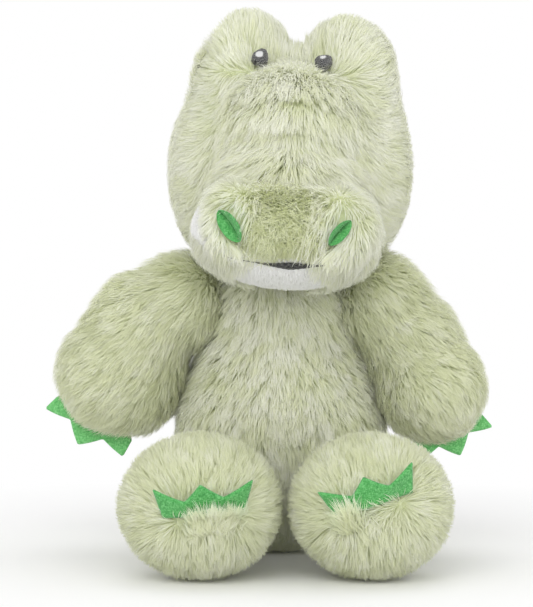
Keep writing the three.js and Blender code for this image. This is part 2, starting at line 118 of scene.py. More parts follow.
def scattered(cells: NDArray[np.int64], seed: int) -> Array:
    """Three steady random numbers from 0 to 1 for each cell of a lattice: its integer place is
    multiplied by large primes and its bits are shifted over each other.

    Args:
        cells: Integer places, three in each row.
        seed: Which set of numbers.

    Returns:
        Three numbers for each row.
    """
    x, y, z = (cells[..., axis].astype(np.uint64) for axis in range(3))
    mixed = x * np.uint64(73856093) ^ y * np.uint64(19349663) ^ z * np.uint64(83492791)
    mixed = mixed + np.uint64(seed * 7919 + 17)
    found = []
    for multiplier in (2654435761, 2246822519, 3266489917):
        mixed = (mixed ^ (mixed >> np.uint64(15))) * np.uint64(multiplier)
        mixed = mixed & np.uint64(0xFFFFFFFF)
        found.append((mixed ^ (mixed >> np.uint64(13))).astype(np.float64) / 2.0**32)
    return np.stack(found, -1) % 1.0


def tufts(at: Array, size: float, seed: int) -> tuple[Array, Array]:
    """The nearest middle of a tuft to each point: one middle is scattered in each lattice cell.

    Args:
        at: Points.
        size: The lattice's cell.
        seed: Which scatter.

    Returns:
        The nearest middle, and three random numbers that a tuft's strands share.
    """
    cell = np.floor(at / size).astype(np.int64)
    best = np.full(len(at), np.inf)
    middle, share = np.zeros_like(at), np.zeros_like(at)
    for step in np.ndindex(3, 3, 3):
        near = cell + (np.array(step) - 1)
        spot = (near + scattered(near + 4096, seed)) * size
        gap = ((spot - at) ** 2).sum(-1)
        closer = gap < best
        best = np.where(closer, gap, best)
        middle[closer] = spot[closer]
        share[closer] = scattered(near[closer] + 9000, seed + 5)
    return middle, share


def drift(at: Array, size: float, seed: int) -> Array:
    """A slow wandering vector from -1 to 1: three sums of two sines over slanted distances.

    Args:
        at: Points.
        size: The length of one swing.
        seed: Which drift.

    Returns:
        One vector for each point.
    """
    rng = np.random.default_rng(seed)
    ways = unit(rng.normal(size=(6, 3))) * (2.0 * math.pi / size)
    waves = np.sin(at @ ways.T + rng.uniform(0.0, 6.28, 6))
    return (waves[:, :3] + waves[:, 3:]) / 2.0


# Stuffed forms and their surfaces


@dataclass(frozen=True)
class Lobe:
    """One egg-shaped lobe of a stuffed form, in the form's own frame."""

    centre: Triple
    size: Triple


class Form:
    """A smooth union of lobes about a pivot, rolled about the axis from front to back."""

    def __init__(
        self,
        pivot: Array,
        heart: Triple,
        spread: Triple,
        blend: float,
        lobes: Sequence[Lobe],
        roll_degrees: float = 0.0,
        lead: Triple = (0.0, 0.0, 0.0),
    ) -> None:
        """Keeps the form's numbers.

        Args:
            pivot: Where the form's own frame starts.
            heart: A point well inside, from which its surface is found.
            spread: How its grid of rays is stretched.
            blend: How softly the lobes join.
            lobes: The lobes.
            roll_degrees: The form's turn about +Y.
            lead: How far the rays that go straight ahead start from the heart.
        """
        self.pivot, self.blend = np.asarray(pivot, float), blend
        self.spread = np.array(spread, float)
        self.centres = np.array([lobe.centre for lobe in lobes], float)
        self.radii = np.array([lobe.size for lobe in lobes], float) / 2.0
        c, s = math.cos(math.radians(roll_degrees)), math.sin(math.radians(roll_degrees))
        self.turn = np.array([[c, 0.0, s], [0.0, 1.0, 0.0], [-s, 0.0, c]])
        self.heart = self.placed(np.array(heart, float))
        self.lead = self.way(np.array(lead, float))

    def placed(self, local: Array) -> Array:
        """Points of the form's own frame in the toy's frame."""
        return local @ self.turn.T + self.pivot

    def way(self, local: Array) -> Array:
        """Directions of the form's own frame in the toy's frame."""
        return local @ self.turn.T

    def local(self, at: Array) -> Array:
        """Points of the toy's frame in the form's own frame."""
        return (at - self.pivot) @ self.turn

    def distance(self, at: Array) -> Array:
        """How far points lie outside the form, below zero inside.

        A lobe's distance d is |p/r| (|p/r| - 1) / |p/r²|, and the form's is
        -blend · ln(sum of exp(-d / blend)).

        Args:
            at: Points in the toy's frame.

        Returns:
            One distance for each point.
        """
        local, total = self.local(at), 0.0
        for centre, radii in zip(self.centres, self.radii):
            scaled = (local - centre) / radii
            length = np.linalg.norm(scaled, axis=-1)
            steep = np.maximum(np.linalg.norm(scaled / radii, axis=-1), 1e-6)
            total = total + np.exp(np.clip(-length * (length - 1.0) / steep / self.blend, -300, 60))
        return -self.blend * np.log(total)

    def outward(self, at: Array) -> Array:
        """The direction in which the distance grows fastest, by central differences.

        Args:
            at: Points.

        Returns:
            One direction for each point.
        """
        reach = 0.5
        slopes = [
            self.distance(at + reach * axis) - self.distance(at - reach * axis)
            for axis in np.eye(3)
        ]
        return unit(np.stack(slopes, -1))

    def along(self, start: Array, ways: Array, inset: float | Array) -> Array:
        """Where rays from inside meet the surface an inset below the form's own, by halving.

        Args:
            start: One start, or one for each ray.
            ways: The rays' directions.
            inset: How deep below the form's surface.

        Returns:
            One point for each ray.
        """
        ways = unit(ways)
        low, high = np.zeros(ways.shape[:-1]), np.full(ways.shape[:-1], 200.0)
        for _ in range(22):
            middle = (low + high) / 2.0
            inside = self.distance(start + ways * middle[..., None]) + inset < 0
            low, high = np.where(inside, middle, low), np.where(inside, high, middle)
        return start + ways * low[..., None]

    def pushed(self, at: Array, margin: float, share: Array | float = 1.0) -> Array:
        """Points moved out of the form until they lie a margin outside it.

        Args:
            at: Points.
            margin: The distance to keep, below zero for a depth that is allowed.
            share: How much of the move is made.

        Returns:
            The moved points.
        """
        for _ in range(3):
            short = np.maximum(margin - self.distance(at), 0.0) * share
            deep = short > 0
            if not deep.any():
                break
            at = at.copy()
            at[deep] += self.outward(at[deep]) * short[deep][:, None]
        return at

    def held(self, at: Array, most: Array) -> Array:
        """Points that stand too far out of the form, drawn back most of the way.

        Args:
            at: Points.
            most: How far outside the form each may stand.

        Returns:
            The points, with 0.85 of what was too much taken off.
        """
        over = self.distance(at) - most
        proud = over > 0
        at = at.copy()
        at[proud] -= self.outward(at[proud]) * (0.85 * over[proud])[:, None]
        return at


@dataclass
class Surface:
    """A surface on a grid of rows and columns, closed round its columns if it is a shell."""

    places: Array
    shell: bool = True

    @property
    def normals(self) -> Array:
        """Outward normals: the cross product of the steps along the columns and the rows.

        Returns:
            One normal for each place.
        """
        at = self.places
        if self.shell:
            across = np.roll(at, -1, 1) - np.roll(at, 1, 1)
        else:
            across = np.gradient(at, axis=1)
        found = unit(np.cross(np.gradient(at, axis=0), across))
        if self.shell:
            found[0], found[-1] = unit(found[1].mean(0)), unit(found[-2].mean(0))
        return found

    def sample(
        self, density: float, weight: Weight, rng: np.random.Generator
    ) -> tuple[Array, Array]:
        """Points spread evenly over the surface: cells are drawn by area and weight.

        Args:
            density: Points for each square millimetre.
            weight: The share of them that is kept, for points.
            rng: The seeded source of chance.

        Returns:
            The points and their normals.
        """
        at, normal = self.places, self.normals
        if self.shell:
            at = np.concatenate([at, at[:, :1]], 1)
            normal = np.concatenate([normal, normal[:, :1]], 1)
        corners = [(slice(None, -1), slice(None, -1)), (slice(1, None), slice(None, -1))]
        corners += [(slice(None, -1), slice(1, None)), (slice(1, None), slice(1, None))]
        p = [at[c].reshape(-1, 3) for c in corners]
        q = [normal[c].reshape(-1, 3) for c in corners]
        area = np.linalg.norm(np.cross(p[3] - p[0], p[2] - p[1]), axis=-1) / 2.0
        chance = area * weight((p[0] + p[3]) / 2.0)
        total = np.cumsum(chance)
        count = int(total[-1] * density)
        cell = np.searchsorted(total, (np.arange(count) + rng.random(count)) / count * total[-1])
        cell = np.minimum(cell, len(total) - 1)
        a, b = rng.random((2, count, 1))
        shares = [(1 - a) * (1 - b), a * (1 - b), (1 - a) * b, a * b]
        spots = sum(share * corner[cell] for share, corner in zip(shares, p))
        return spots, unit(sum(share * corner[cell] for share, corner in zip(shares, q)))


def shell_of(form: Form, inset: float, rows: int, columns: int) -> Surface:
    """A form's surface at a depth: rays leave its heart over a grid of a stretched sphere.

    Args:
        form: The form.
        inset: The depth below the form's surface.
        rows: Steps from pole to pole.
        columns: Steps round it.

    Returns:
        The surface, whose first and last rows are its poles.
    """
    fall, round_ = np.meshgrid(
        np.linspace(0.0, math.pi, rows + 1),
        np.linspace(0.0, 2.0 * math.pi, columns, endpoint=False),
        indexing="ij",
    )
    ways = np.stack(
        [np.sin(fall) * np.cos(round_), np.sin(fall) * np.sin(round_), np.cos(fall)], -1
    )
    ways = unit(form.way(ways * form.spread))
    starts = form.heart + form.lead * smooth(0.1, 0.9, dot(ways, FRONT))
    return Surface(form.along(starts, ways, inset))


# Meshes


def mesh_object(
    name: str, places: Array, loops: Array, sizes: Array, uv: Array | None = None
) -> bpy.types.Object:
    """A linked object from plain arrays.

    Args:
        name: The piece's name.
        places: Vertices in millimetres.
        loops: The vertex of each corner, face after face.
        sizes: How many corners each face has.
        uv: The map's place of each corner.

    Returns:
        The object, at the origin.
    """
    mesh = bpy.data.meshes.new(name)
    mesh.vertices.add(len(places))
    mesh.vertices.foreach_set("co", (places * MM).astype(np.float32).ravel())
    mesh.loops.add(len(loops))
    mesh.loops.foreach_set("vertex_index", loops.astype(np.int32))
    mesh.polygons.add(len(sizes))
    starts = np.concatenate([[0], np.cumsum(sizes)[:-1]]).astype(np.int32)
    mesh.polygons.foreach_set("loop_start", starts)
    mesh.polygons.foreach_set("use_smooth", np.ones(len(sizes), bool))
    mesh.update(calc_edges=True)
    if uv is not None:
        layer = mesh.uv_layers.new(name="OFBake")
        layer.data.foreach_set("uv", uv.astype(np.float32).ravel())
    made = bpy.data.objects.new(name, mesh)
    bpy.context.scene.collection.objects.link(made)
    return made


def closed_shell(name: str, surface: Surface, spots: Array | None = None) -> bpy.types.Object:
    """A shell whose first and last rows are single points, with its faces outwards.

    Args:
        name: The piece's name.
        surface: A closed surface.
        spots: The map's place of each point of its grid.

    Returns:
        The object.
    """

    def listed(grid: Array) -> Array:
        """The grid's inner rows as one list, and then its two poles."""
        return np.concatenate([grid[1:-1].reshape(-1, grid.shape[-1]), grid[:1, 0], grid[-1:, 0]])

    rows, columns = surface.places.shape[:2]
    index = np.arange((rows - 2) * columns).reshape(rows - 2, columns)
    after = np.roll(index, -1, 1)
    quads = np.stack([index[:-1], index[1:], after[1:], after[:-1]], -1).reshape(-1, 4)
    top = np.stack([np.full(columns, index.size), index[0], after[0]], -1)
    bottom = np.stack([np.full(columns, index.size + 1), after[-1], index[-1]], -1)
    loops = np.concatenate([quads.ravel(), top.ravel(), bottom.ravel()])
    sizes = np.concatenate([np.full(len(quads), 4), np.full(2 * columns, 3)])
    uv = None if spots is None else listed(spots)[loops]
    return mesh_object(name, listed(surface.places), loops, sizes, uv)


def slab(name: str, front: Array, back: Array) -> bpy.types.Object:
    """A closed sheet between two grids, with a rim of quads, mapped by its front.

    Args:
        name: The piece's name.
        front: The grid that faces out, whose rows step across its columns by the left hand.
        back: The grid behind it.

    Returns:
        The object.
    """
    rows, columns = front.shape[:2]
    places = np.concatenate([front.reshape(-1, 3), back.reshape(-1, 3)])
    index = np.arange(rows * columns).reshape(rows, columns)
    behind = index + rows * columns

    def faces(at: Array) -> Array:
        """The quads of one grid."""
        return np.stack([at[:-1, :-1], at[1:, :-1], at[1:, 1:], at[:-1, 1:]], -1).reshape(-1, 4)

    edge = np.concatenate([index[0, :-1], index[:-1, -1], index[-1, :0:-1], index[:0:-1, 0]])
    under = np.concatenate([behind[0, :-1], behind[:-1, -1], behind[-1, :0:-1], behind[:0:-1, 0]])
    rim = np.stack([edge, np.roll(edge, -1), np.roll(under, -1), under], -1)
    quads = np.concatenate([faces(index), faces(behind)[:, ::-1], rim])
    u, v = np.meshgrid(np.linspace(0.02, 0.98, columns), np.linspace(0.02, 0.98, rows))
    spots = np.tile(np.stack([u, v], -1).reshape(-1, 2), (2, 1))
    loops = quads.ravel()
    return mesh_object(name, places, loops, np.full(len(quads), 4), spots[loops])


# Finishes


def rgb(red: int, green: int, blue: int) -> tuple[float, float, float, float]:
    """A colour as it looks on a screen, from 0 to 255, as a shader's linear value.

    Args:
        red: Its red.
        green: Its green.
        blue: Its blue.

    Returns:
        Linear red, green and blue, and an opacity of one.
    """
    shares = np.array([red, green, blue]) / 255.0
    linear = np.where(shares <= 0.04045, shares / 12.92, ((shares + 0.055) / 1.055) ** 2.4)
    return (*(float(value) for value in linear), 1.0)


class Tree:
    """A node tree that is written node by node."""

    def __init__(self, tree: bpy.types.NodeTree, owner: bpy.types.Material | None = None) -> None:
        """Keeps the tree and the material that it belongs to."""
        self.tree, self.owner = tree, owner

    def link(self, start: bpy.types.NodeSocket, end: bpy.types.NodeSocket) -> None:
        """Joins an output to an input."""
        self.tree.links.new(start, end)

    def add(self, kind: str, inputs: dict | None = None, **settings: object) -> bpy.types.Node:
        """Adds a node, sets it up and links or fills its inputs.

        Args:
            kind: The node's type.
            inputs: For each input's name or number, a socket to link or a value to set.
            **settings: The node's own settings.

        Returns:
            The node.
        """
        node = self.tree.nodes.new(kind)
        for name, value in settings.items():
            setattr(node, name, value)
        for key, value in (inputs or {}).items():
            if isinstance(value, bpy.types.NodeSocket):
                self.link(value, node.inputs[key])
            else:
                node.inputs[key].default_value = value
        return node

    def ramp(self, factor: bpy.types.NodeSocket, stops: Sequence[tuple]) -> bpy.types.NodeSocket:
        """A colour ramp.

        Args:
            factor: What picks the colour.
            stops: Each a place from 0 to 1 and a screen colour.

        Returns:
            The colour.
        """
        node = self.add("ShaderNodeValToRGB", {0: factor})
        elements = node.color_ramp.elements
        while len(elements) < len(stops):
            elements.new(1.0)
        for element, (place, colour) in zip(elements, stops):
            element.position, element.color = place, rgb(*colour)
        return node.outputs["Color"]

    def math(self, operation: str, *values: object) -> bpy.types.NodeSocket:
        """One sum of sockets and numbers."""
        return self.add("ShaderNodeMath", dict(enumerate(values)), operation=operation).outputs[0]

    def mix(self, factor: object, a: object, b: object) -> bpy.types.NodeSocket:
        """Two colours mixed by a factor, each a socket or a screen colour."""
        a, b = (rgb(*one) if isinstance(one, tuple) else one for one in (a, b))
        return self.add("ShaderNodeMix", {0: factor, 6: a, 7: b}, data_type="RGBA").outputs[2]

    def finished(
        self, shader: bpy.types.Node, colour: bpy.types.NodeSocket, bump: dict
    ) -> bpy.types.Material:
        """Gives a shader its colour and a bump.

        Args:
            shader: The Principled node.
            colour: Its colour.
            bump: The bump's inputs.

        Returns:
            The material.
        """
        self.link(colour, shader.inputs["Base Color"])
        self.link(self.add("ShaderNodeBump", bump).outputs[0], shader.inputs["Normal"])
        return self.owner


def group(name: str, scale: str, outputs: Sequence[str]) -> tuple:
    """A new shader node group that takes a place and one number, and gives numbers.

    Args:
        name: The group's name.
        scale: What its number is called.
        outputs: What its outputs are called.

    Returns:
        The group's tree, the outputs of its input node and the inputs of its output node.
    """
    made = bpy.data.node_groups.new(name, "ShaderNodeTree")
    made.interface.new_socket("Vector", in_out="INPUT", socket_type="NodeSocketVector")
    for way, keys in (("INPUT", (scale,)), ("OUTPUT", outputs)):
        for key in keys:
            made.interface.new_socket(key, in_out=way, socket_type="NodeSocketFloat")
    tree = Tree(made)
    return tree, tree.add("NodeGroupInput").outputs, tree.add("NodeGroupOutput").inputs


def fibre_group() -> bpy.types.NodeTree:
    """Felted fibres: two noises drawn out along crossed directions, and a finer grain.

    Returns:
        A group with a mottle from 0 to 1 and a height.
    """
    tree, given, made = group("felted_fibres", "Scale", ("Mottle", "Height"))
    parts = []
    for stretch, turn in (((1.0, 1.0, 5.0), 0.6), ((5.0, 1.0, 1.0), -0.7), ((1.6, 1.6, 1.6), 0.2)):
        mapping = tree.add("ShaderNodeMapping", {0: given[0], 2: (turn, turn, turn), 3: stretch})
        noise = tree.add("ShaderNodeTexNoise", {0: mapping.outputs[0], 2: given[1], 3: 3.0, 4: 0.6})
        parts.append(noise.outputs[0])
    total = tree.math("ADD", tree.math("ADD", parts[0], parts[1]), parts[2])
    mean = tree.math("MULTIPLY", total, 0.333)
    sharp = tree.add("ShaderNodeMapRange", {0: mean, 1: 0.38, 2: 0.62})
    tree.link(sharp.outputs[0], made[0])
    tree.link(tree.math("MAXIMUM", parts[0], parts[1]), made[1])
    return tree.tree


def thread_group() -> bpy.types.NodeTree:
    """Twisted thread: a wave over the map's rows, slanted a little, and a soft speckle.

    Returns:
        A group with a ridge and a speckle, each from 0 to 1.
    """
    tree, given, made = group("twisted_thread", "Rows", ("Ridge", "Speckle"))
    slanted = tree.add("ShaderNodeMapping", {0: given[0], 2: (0.0, 0.0, 0.12)}).outputs[0]
    rows = {0: slanted, 1: given[1], 2: 2.0, 3: 2.0}
    wave = tree.add("ShaderNodeTexWave", rows, bands_direction="Y")
    noise = tree.add("ShaderNodeTexNoise", {0: given[0], 2: 28.0, 3: 2.0})
    tree.link(wave.outputs[1], made[0])
    tree.link(noise.outputs[0], made[1])
    return tree.tree


FIBRES = fibre_group()
THREAD = thread_group()


def bare_material(name: str, roughness: float, sheen: float) -> tuple[Tree, bpy.types.Node]:
    """A material with one Principled node.

    Args:
        name: The finish's name.
        roughness: How dull it is.
        sheen: How much fuzz it shows.

    Returns:
        Its tree and the node.
    """
    material = bpy.data.materials.new(name)
    material.use_nodes = True
    tree = Tree(material.node_tree, material)
    shader = material.node_tree.nodes["Principled BSDF"]
    for key, value in (
        ("Roughness", roughness),
        ("Sheen Weight", sheen),
        ("Sheen Roughness", 0.45),
        ("Specular IOR Level", 0.2),
    ):
        shader.inputs[key].default_value = value
    return tree, shader


@dataclass(frozen=True)
class StrandFinish:
    """Pile whose map holds a tone across and the place along the strand upwards."""

    name: str
    deep: Colour
    middle: Colour
    pale: Colour
    root: Colour
    sheen: float = 0.25
    through: float = 0.6

    def material(self) -> bpy.types.Material:
        """Colour by tone, sinking to the root's colour down the strand, with fine fibre lines.

        Returns:
            The material.
        """
        tree, shader = bare_material(self.name, 0.75, self.sheen)
        uv = tree.add("ShaderNodeUVMap", uv_map="OFBake").outputs[0]
        split = tree.add("ShaderNodeSeparateXYZ", {0: uv}).outputs
        tone = tree.ramp(split[0], [(0.0, self.deep), (0.5, self.middle), (1.0, self.pale)])
        height = {0: split[1], 1: 0.0, 2: 0.85}
        rise = tree.add("ShaderNodeMapRange", height, interpolation_type="SMOOTHSTEP")
        lines = tree.add("ShaderNodeTexNoise", {0: uv, 2: 90.0, 3: 2.0}).outputs[0]
        lined = tree.mix(0.18, tone, tree.ramp(lines, [(0.35, self.deep), (0.65, self.pale)]))
        colour = tree.mix(rise.outputs[0], self.root, lined)
        tree.link(colour, shader.inputs["Base Color"])
        thin = tree.add("ShaderNodeBsdfTranslucent", {0: colour})
        both = {0: self.through, 1: shader.outputs[0], 2: thin.outputs[0]}
        mixed = tree.add("ShaderNodeMixShader", both).outputs[0]
        tree.link(mixed, tree.tree.nodes["Material Output"].inputs["Surface"])
        return tree.owner


@dataclass(frozen=True)
class ClothFinish:
    """Knitted backing under a pile: small ribs and a soft mottle."""

    name: str
    base: Colour
    dark: Colour

    def material(self) -> bpy.types.Material:
        """Colour mottled by noise, with ribs as a bump.

        Returns:
            The material.
        """
        tree, shader = bare_material(self.name, 0.9, 0.1)
        place = tree.add("ShaderNodeTexCoord").outputs["Object"]
        fibres = tree.add("ShaderNodeGroup", {0: place, 1: 900.0}, node_tree=FIBRES).outputs
        colour = tree.mix(fibres[0], self.dark, self.base)
        ribs = tree.add("ShaderNodeTexWave", {0: place, 1: 700.0, 2: 1.5}, bands_direction="Z")
        return tree.finished(shader, colour, {0: 0.4, 1: 0.3 * MM, "Height": ribs.outputs[1]})


@dataclass(frozen=True)
class FeltFinish:
    """Pressed wool felt: mottled by crossed fibres, dull, and a little rough to the touch."""

    name: str
    base: Colour
    dark: Colour
    pale: Colour

    def material(self) -> bpy.types.Material:
        """Colour and bump from the felted fibres.

        Returns:
            The material.
        """
        tree, shader = bare_material(self.name, 0.92, 0.35)
        place = tree.add("ShaderNodeTexCoord").outputs["Object"]
        fibres = tree.add("ShaderNodeGroup", {0: place, 1: 650.0}, node_tree=FIBRES).outputs
        stops = [(0.05, self.dark), (0.5, self.base), (0.95, self.pale)]
        colour = tree.ramp(fibres[0], stops)
        return tree.finished(shader, colour, {0: 0.6, 1: 0.5 * MM, "Height": fibres[1]})


@dataclass(frozen=True)
class ThreadFinish:
    """Embroidery thread on the piece's own map, with a painted white highlight if asked."""

    name: str
    dark: Colour
    worn: Colour
    glint: Colour
    glint_size: float
    rows: float
    glint_place: tuple[float, float] = (0.5, 0.5)

    def material(self) -> bpy.types.Material:
        """Dark thread with paler speckles, and a painted highlight: a pale patch round its middle.

        Returns:
            The material.
        """
        tree, shader = bare_material(self.name, 0.45, 0.2)
        uv = tree.add("ShaderNodeUVMap", uv_map="OFBake").outputs[0]
        ridge, noise = tree.add("ShaderNodeGroup", {0: uv, 1: self.rows}, node_tree=THREAD).outputs
        speckle = tree.add("ShaderNodeMapRange", {0: noise, 1: 0.47, 2: 0.62}).outputs[0]
        colour = tree.mix(speckle, self.dark, self.worn)
        # Painted highlight: a white spot with a ragged rim, where the eye catches the light.
        if self.glint_size > 0.0:
            ends = {0: uv, 1: (*self.glint_place, 0.0)}
            away = tree.add("ShaderNodeVectorMath", ends, operation="DISTANCE").outputs["Value"]
            ragged = tree.math("ADD", away, tree.math("MULTIPLY", noise, 0.16))
            limits = {0: ragged, 1: self.glint_size + 0.11, 2: self.glint_size + 0.05}
            inside = tree.add("ShaderNodeMapRange", limits).outputs[0]
            colour = tree.mix(inside, colour, self.glint)
        return tree.finished(shader, colour, {0: 0.7, 1: 0.3 * MM, "Height": ridge})


class Finishes:
    """Every finish of the toy, made once."""

    def __init__(self) -> None:
        """Makes the materials."""
        pale_green = (230, 233, 204), (245, 247, 226), (254, 254, 250), (238, 241, 214)
        curly = (220, 224, 182), (242, 245, 214), (252, 253, 240), (210, 216, 172)
        white = (252, 252, 250), (254, 254, 253), (255, 255, 255), (252, 252, 250)
        self.fur = StrandFinish("pale_green_fur", *pale_green).material()
        self.matted = StrandFinish("matted_fur", *curly).material()
        self.white_pile = StrandFinish("white_pile", *white, sheen=0.5, through=0.2).material()
        self.backing = ClothFinish("fur_backing", (230, 235, 204), (214, 220, 184)).material()
        self.white_cloth = ClothFinish("white_cloth", (250, 250, 247), (240, 240, 236)).material()
        wadding = ClothFinish("polyester_wadding", (246, 246, 242), (226, 226, 220))
        self.wadding = wadding.material()
        self.calico = ClothFinish("pellet_bag_cloth", (224, 219, 205), (200, 194, 178)).material()
        green = (83, 164, 88), (54, 128, 64), (124, 196, 126)
        self.felt = FeltFinish("green_felt", *green).material()
        # Painted light: the same green felt as the feet, written paler so that the hands' claws
        # look lit in the shade of the arms.
        painted_light_green = (112, 192, 114), (80, 160, 88), (150, 216, 150)
        self.hand_felt = FeltFinish("pale_green_felt", *painted_light_green).material()
        # Dark thread, its paler speckles, and the eyes' painted white highlight.
        thread = (38, 38, 41), (158, 158, 156), (234, 234, 234)
        # Each eye's painted highlight: its size and its middle on the eye's map.
        painted_highlights = {Side.RIGHT: (0.2, (0.4, 0.52)), Side.LEFT: (0.15, (0.42, 0.6))}
        self.eyes = {
            side: ThreadFinish(f"{side.word}_eye_thread", *thread, size, 9.0, place).material()
            for side, (size, place) in painted_highlights.items()
        }
        black = (38, 38, 40), (92, 94, 90), (0, 0, 0)
        self.mouth = ThreadFinish("mouth_thread", *black, 0.0, 6.0).material()


# Pile


@dataclass(frozen=True)
class Pile:
    """How one cloth's pile grows."""

    density: float = 2.6
    length: float = 14.0
    width: float = 0.48
    root_degrees: float = 52.0
    tip_degrees: float = 5.0
    tuft: float = 3.8
    lock: float = 10.5
    gather: float = 0.42
    wander_degrees: float = 7.0
    curl_degrees: float = 0.0
    segments: int = 3


# Degrees by which tufts and locks turn and lean on their own, and single strands lean.
TUFT_TURN, LOCK_TURN, LOCK_LEAN, STRAND_LEAN = 16.0, 12.0, 5.0, 3.5
# Where the comb is weaker than CALM the strands rise, by up to RISE degrees.
CALM, RISE = 0.6, 8.0
# The comb bends this much in slow swings of this length.
BEND, SWING = 0.16, 26.0
# Single strands vary between these shares of their length and of their width.
LENGTHS, WIDTHS = (0.72, 1.1), (0.7, 1.25)
# How much a strand's tone varies with its tuft, with its lock and on its own.
TUFT_TONE, LOCK_TONE, STRAND_TONE = 0.42, 0.3, 0.13
# Strands on the floor lie this high at least, and vary by this much. Blades roll by BLADE_ROLL.
FLOOR_LIFT, LIFT_SPREAD, BLADE_ROLL = 0.35, 0.9, 38.0
# A strand's blade is this wide at each of its rims, by its count of points.
BLADE = {3: (0.95, 0.7), 4: (1.0, 0.95, 0.68)}
# The map has this many columns of one tone each.
TONES = 48


@dataclass
class Coat:
    """Strands on one surface, as arrays, ready to be cut into pieces.

    Attributes:
        roots: Where each strand starts.
        paths: Its points, from root to tip.
        normals: The cloth's normal at its root.
        tones: Its tone from 0, deep, to 1, pale.
        widths: Its width at the root.
    """

    roots: Array
    paths: Array
    normals: Array
    tones: Array
    widths: Array

    def piece(
        self, name: str, body: str, material: bpy.types.Material, keep: Array | None = None
    ) -> None:
        """Makes one piece of the strands that are kept, and lets it ride on a body.

        A strand is a flat blade, as wide as its width times a share that ends in a point. Its
        normals lean outwards from its middle and towards the cloth's normal, so that it
        catches light as a round fibre does.

        Args:
            name: The piece's name.
            body: The body that it rides on.
            material: Its finish.
            keep: Whether it holds each strand. It holds all if this is left out.
        """
        keep = np.ones(len(self.roots), bool) if keep is None else keep
        paths, normals, tones = self.paths[keep], self.normals[keep], self.tones[keep]
        count, points = paths.shape[:2]
        shares = np.array(BLADE[points])
        along = unit(np.gradient(paths, axis=1))
        up = np.repeat(normals[:, None], points, 1)
        face = unit(up - along * dot(along, up))
        rng = np.random.default_rng(len(name) + count)
        roll = rng.uniform(-BLADE_ROLL, BLADE_ROLL, (count, 1, 1)) * np.ones((1, points, 1))
        face = turned(face, along, roll)
        across = np.cross(along, face)
        half = across[:, :-1] * (self.widths[keep][:, None, None] * shares[None, :, None] / 2.0)
        rims = np.stack([paths[:, :-1] - half, paths[:, :-1] + half], 2).reshape(count, -1, 3)
        places = np.concatenate([rims, paths[:, -1:]], 1)
        soft = 0.6 * face + 0.75 * up
        bent = np.stack([soft - 0.4 * across, soft + 0.4 * across], 2)[:, :-1].reshape(count, -1, 3)
        leaning = unit(np.concatenate([bent, soft[:, -1:]], 1))
        step = np.arange(points - 2)[:, None] * 2
        quads = (step + np.array([0, 1, 3, 2])).ravel()
        last = 2 * (points - 2)
        corners = np.concatenate([quads, [last, last + 1, last + 2]])
        loops = (np.arange(count)[:, None] * (2 * points - 1) + corners).ravel()
        sizes = np.tile(np.array([4] * (points - 2) + [3]), count)
        column = np.minimum((tones * TONES).astype(int), TONES - 1)
        u = (column[:, None] + np.tile([0.1, 0.9], points - 1)) / TONES
        u = np.concatenate([u, (column[:, None] + 0.5) / TONES], 1)
        v = np.append(np.repeat(np.linspace(0.02, 0.98, points)[:-1], 2), 0.98)
        spots = np.stack([u, np.broadcast_to(v, u.shape)], -1).reshape(-1, 2)
        made = mesh_object(name, places.reshape(-1, 3), loops, sizes, spots[loops])
        made.data.normals_split_custom_set_from_vertices(leaning.reshape(-1, 3).astype(np.float32))
        made.data.materials.append(material)
        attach(made, body)
        log.info("%s: %d strands", name, count)


